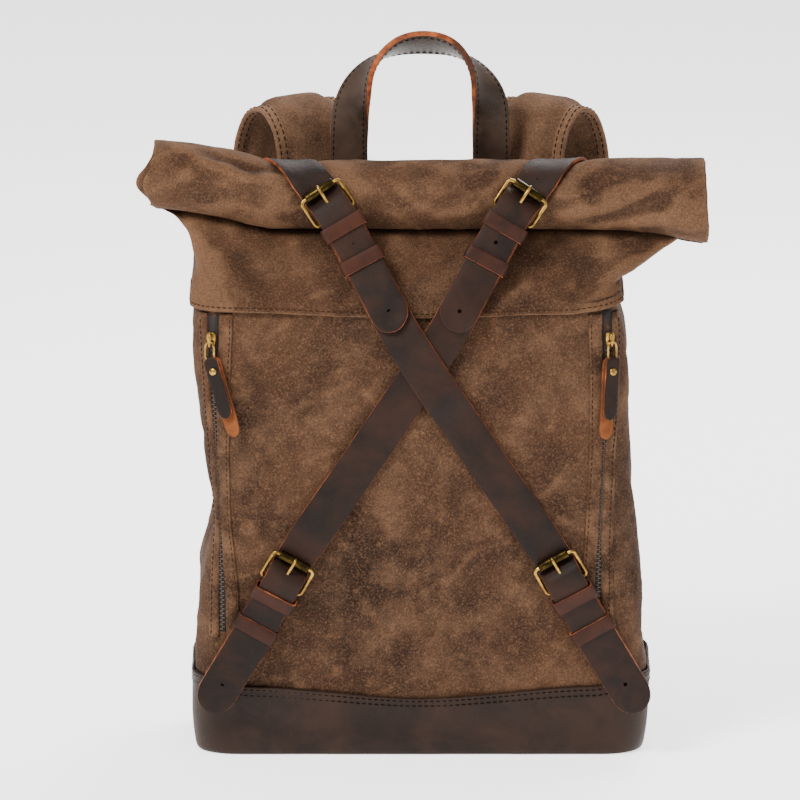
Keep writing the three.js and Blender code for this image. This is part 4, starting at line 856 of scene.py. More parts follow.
def strap_section(half, thick, crown, bevel):
    """Section of a flat strap as places across and out: its face, right edge, back and left edge."""
    t = thick / 2
    top = [(-half + bevel, t), (-half * 0.6, t + crown * 0.64), (-half * 0.25, t + crown * 0.94)]
    top += [(half * 0.25, t + crown * 0.94), (half * 0.6, t + crown * 0.64), (half - bevel, t)]
    cut = bevel * 0.3
    right = [(half - cut, t - cut), (half, t - bevel), (half, -t + bevel), (half - cut, -t + cut)]
    low = [(half - bevel, -t), (0, -t), (-half + bevel, -t)]
    return np.array(top + right + low + [(-across, -out) for across, out in right])


# Columns of a strap's grid: those of its face, and where its back starts and ends.
TOP_COLUMNS, LOW_FROM, LOW_TO = 6, 9, 13


def sweep_flat(centres, across, widths, thick, crown=0.25, bevel=0.4):
    """Grid of points of a flat strap along centres, and its way outwards."""
    tangent = unit(np.gradient(centres, axis=0))
    out = unit(np.cross(across, tangent))
    rings = []
    for p, a, o, w in zip(centres, across, out, widths):
        section = strap_section(max(w / 2, bevel + 0.05), thick, crown * min(1.0, w / 20), bevel)
        rings.append(p + section[:, :1] * a + section[:, 1:] * o)
    return np.array(rings), out


def flat_faces(grid):
    """Faces, material index (0 face, 1 cut edge, 2 back) for a swept strap with capped ends."""
    rows, cols = grid.shape[:2]
    column = np.tile(np.arange(cols), rows - 1)
    index = np.where((column < TOP_COLUMNS) | (column == cols - 1), 0, 1)
    index = np.where((column >= LOW_FROM) & (column < LOW_TO), 2, index)
    return tube_faces(rows, cols), list(index) + [1, 1]


def strap_rows_curve(rows, step):
    """Rows of distance, height and width as a smooth dense run."""
    data = np.array(rows, float)
    flat = np.stack([data[:, 0], data[:, 1], np.zeros(len(data))], -1)
    dense, marks, _ = curve_points(flat, step)
    widths = np.interp(marks, np.arange(len(data)), data[:, 2])
    return dense[:, 0], dense[:, 1], widths


def strap_piece(name, path, rows, bend, seed):
    """A strap along a path from rows of distance, height and width, slightly wavy by bend."""
    s, h, w = strap_rows_curve(rows, 1.2)
    p, _, out, across = path.at(s)
    centres = p + out * h[:, None]
    centres = centres + out * (wobble(centres, 30, seed) * bend)[:, None]
    grid, _ = sweep_flat(centres, across, w, LEATHER)
    faces, index = flat_faces(grid)
    rub = smooth((wobble(grid.reshape(-1, 3), 14, seed + 3) - 0.15) / 0.4) * 0.35
    dress(name, "leather", grid, faces, [STRAP, EDGE, SUEDE], "strap_leather", index, wear=rub)


# Strap lines

LEATHER, GAP = 2.6, 0.4
STRAP_WIDTH, CROSS_X, CROSS_Z, SEAM_Z = 26, 2, 261, 297
FREE_WIDTH, FOLD_WIDTH = STRAP_WIDTH - 1, STRAP_WIDTH - 3.4
WIRE, ROLLER_RADIUS, ROLLER_LENGTH = 2.4, 3, STRAP_WIDTH - 4.6
FRAME_HALF, FRAME_CORNER, HEEL_DISTANCE = STRAP_WIDTH / 2 + 1.7, 2.6, 19
KEEPER_BAND, KEEPER_WALL, KEEPER_CLEAR, NEAR_CLEAR, HEEL_GAP, KEEPER_SPACING = 9.5, 1.5, 0.45, 0.6, 4.6, 25
BASE_FRONT, HEM_FRONT = -61.8, -59.4
FRONT_TOUCH = 160
LOWER_LINE = [(144, 31), (115, 80), (102, 103), (84, 135.7), (42, 198), (0, 261)]
UPPER_LINE = [(9.5, 276, 0), (18.5, 290, 0.09), (24, 300, 0.6), (39.5, 327, 1), (54, 352, 1)]
DOWN_BACK_LINE = [(102, 31, 344, 33), (108, 53, 309, 20), (110, 55.2, 290, 0)]


def body_front(x, z):
    row = at_key(BODY_ROWS, 0, [z])[0]
    push = fold_height(BODY_FOLDS, np.array([x]), np.array([row[3]]), z, np.array([0.0]), np.array([-1.0]))
    return row[3] - float(push[0])


ROLL_OUT = ROLL_RADIUS + LIP / 2 - ROLL_PITCH * (FRONT_TOUCH - ROLL_START) / 360


def front_turn():
    dy, dz = ROLL_Y - HEM_FRONT, ROLL_Z - SEAM_Z
    lean = math.asin(ROLL_OUT / math.hypot(dy, dz))
    return math.degrees(math.atan2(dz, dy)) + 90 + math.degrees(lean)


FRONT_TURN = front_turn()
FRONT_TOP_Y = ROLL_Y + ROLL_OUT * math.cos(math.radians(FRONT_TURN))
FRONT_TOP_Z = ROLL_Z + ROLL_OUT * math.sin(math.radians(FRONT_TURN))


def front_line(x, z):
    """Depth of the line that the straps lie on, below the roll."""
    ease_from = SEAM_Z - 8 - 14
    if z >= FRONT_TOP_Z:
        return FRONT_TOP_Y
    if z > SEAM_Z:
        return mix(HEM_FRONT, FRONT_TOP_Y, (z - SEAM_Z) / (FRONT_TOP_Z - SEAM_Z))
    if z > ease_from:
        below = min(body_front(x, ease_from), BASE_FRONT)
        return mix(below, HEM_FRONT, float(smooth((z - ease_from) / 16)))
    stand = 2.4 * float(smooth((164 - z) / 26))
    return min(body_front(x, z), BASE_FRONT) - stand


def strap_line(side):
    turned = lambda turn: (0, math.cos(math.radians(turn)), math.sin(math.radians(turn)))
    slope = turned(FRONT_TURN)
    stations = []
    for away, z in LOWER_LINE:
        x = CROSS_X - side * away
        stations.append(((x, front_line(x, z), z), (0, -1, 0)))
    for away, z, tilt in UPPER_LINE:
        x = CROSS_X + side * away
        normal = (0, mix(-1, slope[1], tilt), mix(0, slope[2], tilt))
        stations.append(((x, front_line(x, z), z), normal))
    for turn, away in STRAP_TRACK:
        x = CROSS_X + side * away
        p = roll_points(turn, LIP / 2, np.array([x]), True)[0]
        stations.append((tuple(p), turned(turn)))
    for away, y, z, turn in DOWN_BACK_LINE:
        stations.append(((CROSS_X + side * away, y, z), turned(turn)))
    return Path(stations, CROSS_Z)


LINES = {"left": strap_line(-1), "right": strap_line(1)}
TOP_ROLLER = LINES["left"].distance_at(ROLL_Z + 0.238 * ROLL_RADIUS)
BOTTOM_ROLLER = LINES["left"].distance_at(0.515 * CROSS_Z)

RESTING = GAP + LEATHER / 2
LOW_LAYER = RESTING + KEEPER_WALL + KEEPER_CLEAR
HIGH_LAYER = LOW_LAYER + LEATHER + 0.6
UNDER_ROLLER = RESTING + 0.2
TOP_HEEL = 2.2
BOTTOM_HEEL = 2 * GAP + LEATHER + WIRE / 2 + 0.3
FOLD_OUT = WIRE / 2 + GAP + LEATHER / 2
ROLLER_HEIGHT = GAP + LEATHER + GAP + ROLLER_RADIUS + 0.5
BELOW_STEPS = [0, 4, 8, 12, 16, 21]


def ease(x):
    return float(smooth(x))


def tip_rows(s, height, way, length):
    rows = []
    for t in np.sin(np.linspace(0.12, math.pi / 2, 16)):
        at = s + way * length * t
        rows.append((at, height(at), max(2.4, STRAP_WIDTH * math.sqrt(max(0.0, 1 - t**2.4)))))
    return rows


def below_heel(heel, far):
    return mix(heel + FOLD_OUT, LOW_LAYER, ease(far / 18))


def through_buckle(roller, heel):
    above = lambda far: below_heel(heel, far) + HIGH_LAYER - LOW_LAYER
    over, climb = above(0), HEEL_DISTANCE - WIRE
    rows = [(roller + 6, UNDER_ROLLER, FREE_WIDTH), (roller - 4, UNDER_ROLLER, FREE_WIDTH)]
    rows += [(roller - climb * 0.42, mix(UNDER_ROLLER, over, 0.5), FREE_WIDTH)]
    rows += [(roller - climb * 0.7, over - GAP, FREE_WIDTH)]
    return rows + [(roller - HEEL_DISTANCE - far, above(far), FREE_WIDTH) for far in BELOW_STEPS]


def crossing_rise(s, over):
    return (LEATHER + GAP + 0.5) * ease((50 - abs(s)) / 22) if over else 0.0


def even_rows(start, end, count, height, width=STRAP_WIDTH):
    return [(s, height(s), width) for s in np.linspace(start, end, count + 1)]


def over_strap(name):
    path, over = LINES[name], name == "left"
    on_back = lambda s: RESTING + 0.4 * ease((path.end - 16 - s) / 20)
    rise = lambda s: HIGH_LAYER + crossing_rise(s, over) + 0.7 * ease((70 - s) / 20)
    rows = even_rows(path.end - 1, TOP_ROLLER + 12, 15, on_back) + through_buckle(TOP_ROLLER, TOP_HEEL)
    rows += even_rows(TOP_ROLLER - HEEL_DISTANCE - 28, 50, 3, rise, FREE_WIDTH) + tip_rows(49, rise, -1, 19)
    strap_piece(f"over_strap_{name}", path, rows[::-1], 0.2, 2.0 + over)


def main_end(heel_at, heel):
    """The strap's main layer, from below its keepers up to the heel of its buckle."""
    width = lambda far: FOLD_WIDTH if far < 5 else STRAP_WIDTH
    return [(heel_at - far, below_heel(heel, far), width(far)) for far in BELOW_STEPS[:0:-1]]


def folded_end(heel_at, heel):
    """The strap's end, folded round the heel of its buckle."""
    angles = np.radians([90, 75, 60, 45, 30, 15, 0, -15, -30, -45, -60, -75, -90])
    rows = [(heel_at + FOLD_OUT * math.cos(a), heel + FOLD_OUT * math.sin(a), FOLD_WIDTH) for a in angles]
    return rows + [(heel_at - FOLD_OUT, heel - FOLD_OUT, FOLD_WIDTH)]


def cross_strap(name):
    path, over = LINES[name], name == "left"
    heel_at = TOP_ROLLER - HEEL_DISTANCE

    def low(s):
        if s > -30:
            return LOW_LAYER + crossing_rise(s, over)
        return mix(LOW_LAYER, RESTING + 0.9, ease((-30 - s) / 30))

    high = lambda _: HIGH_LAYER
    nose = path.start + 2
    rows = tip_rows(nose + 17, high, -1, 17)[::-1]
    rows += even_rows(nose + 18, BOTTOM_ROLLER - HEEL_DISTANCE - 26, 3, high)
    rows += through_buckle(BOTTOM_ROLLER, BOTTOM_HEEL)[::-1]
    rows += even_rows(BOTTOM_ROLLER + 14, heel_at - 26, 14, low)
    rows += main_end(heel_at, TOP_HEEL) + folded_end(heel_at, TOP_HEEL)
    strap_piece(f"cross_strap_{name}", path, rows, 0.2, 7.0 + over)


def anchor_strap(name):
    path = LINES[name]
    heel_at = BOTTOM_ROLLER - HEEL_DISTANCE
    rows = even_rows(path.start + 22, heel_at - 26, 5, lambda _: LOW_LAYER)
    rows += main_end(heel_at, BOTTOM_HEEL) + folded_end(heel_at, BOTTOM_HEEL)
    strap_piece(f"anchor_strap_{name}", path, rows, 0.0, 11.0)


# Buckles and keepers


def wire_grid(points, radius, side, closed, count=14, flat=1.0):
    """Rings of a wire along points. side is one way across it, flat squeezes the other way."""
    p = np.asarray(points, float)
    if closed:
        ahead = unit(np.roll(p, -1, 0) - np.roll(p, 1, 0))
    else:
        ahead = unit(np.gradient(p, axis=0))
    side = np.asarray(side, float)
    e1 = unit(side - ahead * (ahead * side).sum(-1, keepdims=True))
    e2 = np.cross(ahead, e1)
    a = np.arange(count) * 2 * math.pi / count
    r = np.broadcast_to(np.asarray(radius, float), len(p))[:, None, None]
    round_by = np.cos(a)[None, :, None] * e1[:, None] + flat * np.sin(a)[None, :, None] * e2[:, None]
    return p[:, None] + r * round_by


def wire_mesh(points, radius, side, closed, count=14, flat=1.0):
    grid = wire_grid(points, radius, side, closed, count, flat)
    rows, cols = grid.shape[:2]
    faces = grid_faces(rows, cols, True, True) if closed else tube_faces(rows, cols)
    return grid.reshape(-1, 3), faces


def buckle_basis(path, roller):
    upper, _, _, _ = path.at(roller)
    lower, _, out, _ = path.at(roller - HEEL_DISTANCE)
    ahead = unit(upper[0] - lower[0])
    out = unit(out[0] - ahead * float(out[0] @ ahead))
    return lower[0] + ahead * HEEL_DISTANCE, np.cross(ahead, out), ahead, out


def path_basis(path, s):
    p, ahead, out, across = path.at(s)
    return p[0], across[0], ahead[0], out[0]


def place(points, basis):
    """Points given across, ahead and out of a basis, in the part's frame."""
    origin, across, ahead, out = basis
    p = np.asarray(points, float).reshape(-1, 3)
    return origin + p[:, :1] * across + p[:, 1:2] * ahead + p[:, 2:3] * out


def buckle_frame(name, basis, heel):
    points = []
    for cx, cy, angles in corner_arcs(-FRAME_HALF, FRAME_HALF, -HEEL_DISTANCE, 0, FRAME_CORNER, 9):
        for a in angles:
            y = cy + FRAME_CORNER * math.sin(a)
            points.append((cx + FRAME_CORNER * math.cos(a), y, mix(ROLLER_HEIGHT, heel, -y / HEEL_DISTANCE)))
    verts, faces = wire_mesh(points, 1.3, (0, 0, 1), True, 16)
    # Painted shade on the heel end of the frame, under the strap's fold and keepers.
    shade = smooth((-verts[:, 1] - 12) / 8) * 0.5
    dress(name, "metal", place(verts, basis), faces, [BRASS], "brass", shade=shade)


def buckle_roller(name, basis):
    half, full = ROLLER_LENGTH / 2, ROLLER_RADIUS + 0.3
    rim = [(half, 1.5), (half, full - 0.6), (half - 0.2, full - 0.2), (half - 0.7, full)]
    profile = mirrored(rim, (0, full))
    grid = turned([(r, x) for x, r in profile], 28)[..., [2, 0, 1]] + np.array([0, 0, ROLLER_HEIGHT])
    faces = grid_faces(len(profile), 28, True, True)
    dress(name, "metal", place(grid, basis), faces, [BRASS_OLD], "brass")


def buckle_tongue(name, basis, heel):
    hook = WIRE / 2 + GAP + 1
    angles = np.radians([-60, -10, 40, 75])
    points = [(0, -HEEL_DISTANCE - hook * math.cos(a), heel + hook * math.sin(a)) for a in angles]
    top = ROLLER_HEIGHT + ROLLER_RADIUS + GAP + 1
    points += [(0, -14, heel + hook + 1.4), (0, -9, mix(heel + hook, top, 0.6)), (0, -3.6, top - 0.1)]
    points += [(0, 1.2, top), (0, 2.6, top - 1.0), (0, 3.2, top - 2.2)]
    dense, _, s = curve_points(points, 0.6)
    radius = np.interp(s / s[-1], [0, 0.15, 0.9, 0.97, 1], [1.15, 1.25, 1.0, 0.8, 0.35])
    verts, faces = wire_mesh(dense, radius, (1, 0, 0), False, 12, 0.9)
    dress(name, "metal", place(verts, basis), faces, [BRASS], "brass")


def keeper(name, basis, low, high, clear, cut, tilt=0.0):
    """A leather band round both straps. The columns of its profile in cut get the cut edge's colour, which on
    one bevel only is a painted highlight of the lit side, the other bevel keeping the dark face colour as
    painted shade.
    """
    reach = LEATHER / 2 + clear
    half, bottom, top, r = STRAP_WIDTH / 2 + clear, low - reach, high + reach, 1.4
    loop = []
    for quarter, (cx, cz, angles) in enumerate(corner_arcs(-half, half, bottom, top, r, 7)):
        loop += [(cx, cz, math.cos(a), math.sin(a)) for a in angles]
        if quarter % 2 == 0:
            way = quarter - 1
            loop += [(cx + way * t * 2 * (half - r), cz, 0.0, -way) for t in np.linspace(0.1, 0.9, 9)]
    end, wall = KEEPER_BAND / 2, KEEPER_WALL
    rim = [(end, 0.1), (end, wall - 0.45), (end - 0.18, wall - 0.14), (end - 0.6, wall)]
    profile = mirrored(rim + [(end * 0.5, wall + 0.22)], (0, wall + 0.3))
    middle = (bottom + top) / 2
    c, s = math.cos(tilt), math.sin(tilt)
    rings = []
    for cx, cz, nx, nz in loop:
        ring = []
        for y, out in profile:
            x, z = cx + nx * (r + out), cz + nz * (r + out) - middle
            ring.append((x, y * c - z * s, y * s + z * c + middle))
        rings.append(ring)
    grid = np.array(rings)
    faces = grid_faces(len(loop), len(profile), True, True)
    index = [1 if f % len(profile) in cut else 0 for f in range(len(faces))]
    flat = place(grid, basis)
    rub = smooth((wobble(flat, 9, 4.0) - 0.1) / 0.4) * 0.5
    dress(name, "leather", flat, faces, [KEEPER, EDGE], "strap_leather", index, wear=rub)


def keepers(path, name, heel, roller):
    """Both keepers below a buckle. The cut edge's colour also covers the bevel on the side towards the
    crossing only: a painted highlight of the side lit in view, with painted shade on the other bevel.
    """
    # Columns 0 and 9 are the cut edge on both sides; column 1 or 8 is the lit-side bevel, coloured as painted
    # highlight.
    cut = (0, 1, 9) if "top" in name else (0, 8, 9)
    near = HEEL_GAP + KEEPER_BAND / 2
    drop = below_heel(heel, HEEL_GAP) - below_heel(heel, HEEL_GAP + KEEPER_BAND)
    level = below_heel(heel, near)
    at, tilt = roller - HEEL_DISTANCE - near, math.atan2(drop, KEEPER_BAND)
    upper = level + HIGH_LAYER - LOW_LAYER
    keeper(f"{name}_1", path_basis(path, at), level, upper, NEAR_CLEAR, cut, tilt)
    far = path_basis(path, at - KEEPER_SPACING)
    keeper(f"{name}_2", far, LOW_LAYER, HIGH_LAYER, KEEPER_CLEAR, cut)


def punched_holes():
    """Holes in the straps, each a small sunk disc with a pressed rim; the disc is near-black, painted shade of
    the hole.
    """
    spots = []
    for name, path in LINES.items():
        over = name == "left"
        spots.append((path, TOP_ROLLER + 11, UNDER_ROLLER + 0.1))
        spots += [(path, BOTTOM_ROLLER - 52, HIGH_LAYER), (path, BOTTOM_ROLLER - 96, HIGH_LAYER)]
        for s in (TOP_ROLLER - 40, 44):
            spots.append((path, s, HIGH_LAYER + crossing_rise(s, over) + 0.7 * ease((70 - s) / 20)))
    parts = []
    for path, s, height in spots:
        top = height + LEATHER / 2
        grid = turned([(1.9, top + 0.1), (1.6, top + 0.34), (1.35, top + 0.3)], 16)
        parts.append((place(grid, path_basis(path, s)), grid_faces(3, 16, True) + [list(range(32, 48))]))
    verts, faces = join_grids(parts)
    index = [0 if len(f) == 4 else 1 for f in faces]
    # The sunk discs get the near-black painted shade; their rims get the strap leather.
    add_mesh("strap_holes", verts, faces, [STRAP, HOLE_PAINTED_SHADE], indices=index)


def all_straps():
    for name, path in LINES.items():
        over_strap(name)
        cross_strap(name)
        anchor_strap(name)
        for where, heel, roller in (("top", TOP_HEEL, TOP_ROLLER), ("bottom", BOTTOM_HEEL, BOTTOM_ROLLER)):
            basis = buckle_basis(path, roller)
            buckle_frame(f"buckle_{where}_{name}", basis, heel)
            buckle_roller(f"roller_{where}_{name}", basis)
            buckle_tongue(f"tongue_{where}_{name}", basis, heel)
            keepers(path, f"keeper_{where}_{name}", heel, roller)
    punched_holes()


# Zips and pulls

SIDES = (("left", -1), ("right", 1))
ZIP_MIDDLE = {"left": -136.05, "right": 121.95}
ZIP_TOP, ZIP_BOTTOM, ZIP_WIDTH, PLACKET_WIDTH = 290, 84, 7, 9
SLIDER_Z, RING_DROP, PULL_DROP, PULL_LEAN, RIVET_Y = 279.5, 6.8, 18.8, 0.07, -2


def zip_x(name, mirror, z):
    return ZIP_MIDDLE[name] - mirror * 6 * smooth((ZIP_TOP - z) / (ZIP_TOP - ZIP_BOTTOM))


def on_body(x, z, lift):
    """Point and direction of the lower tube's rounded front at x and z."""
    x, z = np.asarray(x, float), np.asarray(z, float)
    rows = at_key(BODY_ROWS, 0, z)
    left, right, front, corner = rows[:, 1], rows[:, 2], rows[:, 3], rows[:, 5]
    side = np.clip(x, left + corner, right - corner)
    dx = x - side
    n = unit(np.stack([dx, -np.sqrt(np.maximum(1, corner**2 - dx**2)), np.zeros_like(dx)], -1))
    y = front + corner + n[:, 1] * corner
    push = fold_height(BODY_FOLDS + BODY_CREASES, x, y, z, n[:, 0], n[:, 1])
    base = np.stack([x, y, z], -1)
    return base + n * (lift + push + body_soft(base))[:, None], n


def along_body(x, z, away):
    """The x that lies that far along the curved front of the lower tube."""
    rows = at_key(BODY_ROWS, 0, z)
    corner = rows[:, 5]
    x = np.broadcast_to(np.asarray(x, float), corner.shape)
    edge = np.where(x < 0, rows[:, 1] + corner, rows[:, 2] - corner)
    side = np.where(x < 0, -1.0, 1.0)
    past = (x - edge) * side
    arc = np.where(past > 0, corner * np.arcsin(np.clip(past / corner, -1, 1)), past) + side * away
    bent = corner * np.sin(np.clip(arc / corner, -1.5, 1.5))
    return edge + side * np.where(arc > 0, bent, arc)


def surface_strip(xs, zs, profile):
    """A strip laid on the body: profile is (across, height) pairs over its width."""
    rings = [on_body(along_body(xs, zs, a), zs, h)[0] for a, h in profile]
    grid = np.array(rings).transpose(1, 0, 2)
    return grid, tube_faces(*grid.shape[:2])


# z, half the width of the open slit over the zip
SLIT_ROWS = [[80, 2.2], [120, 1.6], [150, 0.5], [205, 0.4], [235, 1.5], [262, 2.2], [284, 3.6], [296, 3.8]]


def slit(zs):
    return at_key(SLIT_ROWS, 0, zs)[:, 1]


def placket(name, mirror):
    zs = np.linspace(ZIP_BOTTOM - 4, ZIP_TOP + 6, 150)
    edge = along_body(zip_x(name, mirror, zs), zs, -mirror * slit(zs))
    middle = along_body(edge, zs, -mirror * (PLACKET_WIDTH / 2 + 0.2))
    half = PLACKET_WIDTH / 2
    inner = mirrored([(half, 0.1), (half - 0.2, 1.0), (half - 1, 1.35)], (0, 1.25))
    inner_strip = surface_strip(middle, zs, inner)
    outer = [(-3, -0.3), (-2.9, 0.8), (-2.3, 1.9), (-1, 2.3), (1, 1.9), (3, 1.2), (5, 0.4), (6, -0.3)]
    if mirror < 0:
        outer = [(-a, h) for a, h in outer[::-1]]
    outside = along_body(zip_x(name, mirror, zs), zs, mirror * (slit(zs) + 3))
    verts, faces = join_grids([inner_strip, surface_strip(outside, zs, outer)])
    wear = smooth((wobble(verts, 12, 3.0) + 0.1) / 0.5) * 0.4
    dress(f"placket_{name}", "cloth", verts, faces, [CANVAS], "canvas", wear=wear)


def zip_chain(name, mirror):
    zs = np.linspace(ZIP_BOTTOM, ZIP_TOP + 8, 60)
    half = ZIP_WIDTH / 2
    section = [(-half, 0), (-half, 0.3), (half, 0.3), (half, 0)]
    tape, tape_faces = surface_strip(zip_x(name, mirror, zs), zs, section)
    dress(f"zip_{name}", "tape", tape, tape_faces, [TAPE], "webbing")
    teeth = []
    for k, z in enumerate(np.arange(ZIP_BOTTOM + 2, SLIDER_Z - 4, 1.5)):
        p, n = on_body([float(zip_x(name, mirror, z))], [z], 0.4)
        across = np.array([-n[0, 1], n[0, 0], 0])
        way = 1 if k % 2 else -1
        box = []
        for y in (-0.45, 0.45):
            for x, h in ((-0.4, -0.4), (1.6, -0.4), (1.6, 0.45), (-0.4, 0.6)):
                box.append(p[0] + across * way * x + n[0] * h + np.array([0, 0, y]))
        sides = [[0, 1, 2, 3], [7, 6, 5, 4], [0, 4, 5, 1], [1, 5, 6, 2], [2, 6, 7, 3], [3, 7, 4, 0]]
        teeth.append((box, sides if way > 0 else [f[::-1] for f in sides]))
    verts, faces = join_grids(teeth)
    add_mesh(f"zip_{name}_teeth", verts, faces, [BRASS_DARK], flat=True)


def zip_basis(name, mirror):
    p, n = on_body([float(zip_x(name, mirror, SLIDER_Z))], [SLIDER_Z], 2.2)
    return p[0], np.array([-n[0, 1], n[0, 0], 0]), np.array([0, 0, 1.0]), n[0]


def rounded_slab(outline, z0, z1, bevel):
    """A slab with a bevelled rim from an outline, anticlockwise."""
    o = np.asarray(outline, float)
    centre = o.mean(0)
    rings = []
    for shrink, z in ((0.94, z0), (1, z0 + bevel), (1, z1 - bevel), (0.95, z1 - bevel * 0.3), (0.86, z1)):
        q = centre + (o - centre) * shrink
        rings.append(np.column_stack([q, np.full(len(q), z)]))
    return np.array(rings), tube_faces(5, len(o))


def zip_slider(name, basis):
    right = [(1.7, -5), (2.3, -3.4), (3.1, 0.5), (3.1, 3.6), (2.2, 5)]
    outline = [(-1.7, -5)] + right + [(-x, y) for x, y in right[:0:-1]]
    body = rounded_slab(outline, -0.4, 2.4, 0.5)
    arch = [(0, 4.2, 2.0), (0, 3.8, 4.2), (0, 0.5, 5.0), (0, -3.2, 4.4), (0, -4.2, 2.2)]
    bridge, _, _ = curve_points(arch, 0.5)
    verts, faces = join_grids([body, wire_mesh(bridge, 0.9, (1, 0, 0), False, 10, 0.7)])
    dress(f"zip_slider_{name}", "metal", place(verts, basis), faces, [BRASS], "brass")


def zip_ring(name, basis):
    a = np.arange(40) * 2 * math.pi / 40
    bend = lambda c: np.sign(c) * np.abs(c) ** 0.6
    points = np.stack([3 * bend(np.cos(a)), -RING_DROP + 5.6 * bend(np.sin(a)), np.full(40, 4.6)], -1)
    verts, faces = wire_mesh(points, 0.75, (0, 0, 1), True, 12)
    dress(f"zip_ring_{name}", "metal", place(verts, basis), faces, [BRASS], "brass")


PULL_SWING = {"left": math.radians(19), "right": math.radians(-6)}


def pull_basis(name, basis):
    """The pull hangs from the ring, swung to one side and leaning out."""
    origin, across, up, out = basis
    ring_low = origin + up * -(RING_DROP + 2)
    c, s = math.cos(PULL_SWING[name]), math.sin(PULL_SWING[name])
    across, up = across * c + up * s, up * c - across * s
    origin = ring_low + up * (RING_DROP + 2)
    c, s = math.cos(PULL_LEAN), math.sin(PULL_LEAN)
    return origin + up * -PULL_DROP + out * 0.6, across, up * c - out * s, out * c + up * s


def zip_pull(name, basis):
    """A strip of leather folded through the ring: its front layer, the fold and the longer back layer."""
    width = 9.8
    spread = np.sin(np.linspace(0.1, math.pi / 2, 10))
    tip = [(t, max(1.2, width * math.sqrt(max(0, 1 - t**2.6)))) for t in spread]
    front = [(-23, 6.7, width), (-12, 6.5, width), (0, 6.6, width), (4.4, 6.6, width), (5.6, 6.5, 8)]
    fold = [(6.6, 6.1, 5), (7.7, 5.2, 4.6), (8, 4.4, 4.6), (7.7, 3.5, 4.6), (6.6, 2.7, 5)]
    back = [(5.6, 2.3, 8), (4.4, 2.2, width), (0, 2.2, width), (-18, 2.3, width), (-34, 2.6, width)]
    rows = [(-26 - 8 * t, 6.9, w) for t, w in tip][::-1] + front + fold + back
    rows += [(-38 - 9 * t, 2.8 + 0.4 * t, w) for t, w in tip]
    along, height, widths = strap_rows_curve(rows, 0.7)
    centres = np.stack([0 * along, along, height], -1)
    across = np.tile([1.0, 0, 0], (len(centres), 1))
    grid, _ = sweep_flat(centres, across, widths, 1.8, 0.12, 0.4)
    faces, index = flat_faces(grid)
    pull = f"zip_pull_{name}"
    dress(pull, "leather", place(grid, basis), faces, [STRAP, EDGE, SUEDE], "strap_leather", index)


def zip_rivet(name, basis):
    profile = [(1.1, 3.2), (1.1, 7.6), (2.5, 7.7), (2.6, 8.1), (2.2, 8.7), (1.2, 9.1), (0.3, 9.2)]
    grid = turned(profile, 20, RIVET_Y)
    dress(f"zip_rivet_{name}", "metal", place(grid, basis), tube_faces(7, 20), [BRASS], "brass")


def all_zips():
    for name, mirror in SIDES:
        placket(name, mirror)
        zip_chain(name, mirror)
        basis = zip_basis(name, mirror)
        zip_slider(name, basis)
        zip_ring(name, basis)
        hanging = pull_basis(name, basis)
        zip_pull(name, hanging)
        zip_rivet(name, hanging)


# Handle, pads and webbing

HANDLE_LINE = [
    [-44, 57.2, 301, 0],
    [-45, 57, 330, 0],
    [-47, 55, 362, 0],
    [-47.5, 51, 392, 6],
    [-44, 47.4, 420, 34],
    [-32, 44.6, 443, 84],
    [-15, 43.6, 455, 120],
    [2, 43.4, 458, 130],
    [19, 43.8, 454.6, 120],
    [34, 45, 442, 84],
    [44.4, 47.6, 420, 34],
    [46.6, 51, 392, 6],
    [46.4, 55, 362, 0],
    [45, 57, 330, 0],
    [44, 57.2, 301, 0],
]
PAD_LINE = [
    [60, 57.8, 258, 0],
    [60, 58.2, 276, 0],
    [60, 65, 297, 0],
    [62, 66, 340, 14],
    [66, 68, 376, 26],
    [72, 74, 397, 33],
    [80.5, 86, 407.5, 36],
    [90, 99, 403, 36],
    [96, 109, 386, 34],
    [99, 115, 350, 30],
    [100, 117, 300, 24],
    [101, 114, 240, 18],
    [103, 107, 185, 10],
    [109, 96, 136, 2],
    [116, 88, 112, 0],
]
WEBBING_LINE = [[134, 59.3, 53], [133.4, 63, 66], [128, 71.4, 86], [121, 79.2, 104], [116.4, 84.2, 118]]


def carry_handle():
    rows = np.array(HANDLE_LINE, float)
    p, marks, _ = curve_points(rows[:, :3], 1.6)
    turn = np.radians(spline_rows(rows, marks)[:, 3])
    ahead = unit(np.gradient(p, axis=0))
    near = unit(np.array([0, -1.0, 0]) + ahead * ahead[:, 1:2])
    flat = np.cross(ahead, near)
    across = flat * np.cos(turn)[:, None] + near * np.sin(turn)[:, None]
    grid, out = sweep_flat(p, across, np.full(len(p), 25.0), 4.4, 0.35, 0.9)
    faces, index = flat_faces(grid)
    index = [0 if k == 2 else k for k in index]
    rub = smooth((wobble(grid.reshape(-1, 3), 18, 9.0) - 0.1) / 0.4) * 0.4
    dress("carry_handle", "leather", grid, faces, [HANDLE, EDGE], "strap_leather", index, wear=rub)
    runs = []
    for way in (-1, 1):
        for face in (-1, 1):
            runs.append((p + across * way * 9.9 + out * face * 2.2, out * face))
    add_stitches("carry_handle_stitches", runs, THREAD_DARK, 3.2, 0.8, 1.0)


def pad_shape(a):
    """Half thickness of a pad across its width: thin bound edges and a full middle."""
    b = np.abs(a)
    body = 4.9 * (1 - smooth((b - 0.42) / 0.36)) + 2.0
    edge = 2.0 * np.sqrt(np.clip(1 - ((b - 0.74) / 0.26) ** 4, 0, 1))
    return np.where(b < 0.74, body, edge + np.where(b < 0.97, 0.25, 0.0))


# Where the points of a pad's section lie across its right half, as shares of half its width.
PAD_ACROSS = [0.12, 0.25, 0.38, 0.5, 0.6, 0.68, 0.735, 0.745, 0.8, 0.88, 0.95, 0.985, 1]
PAD_HALF = 32


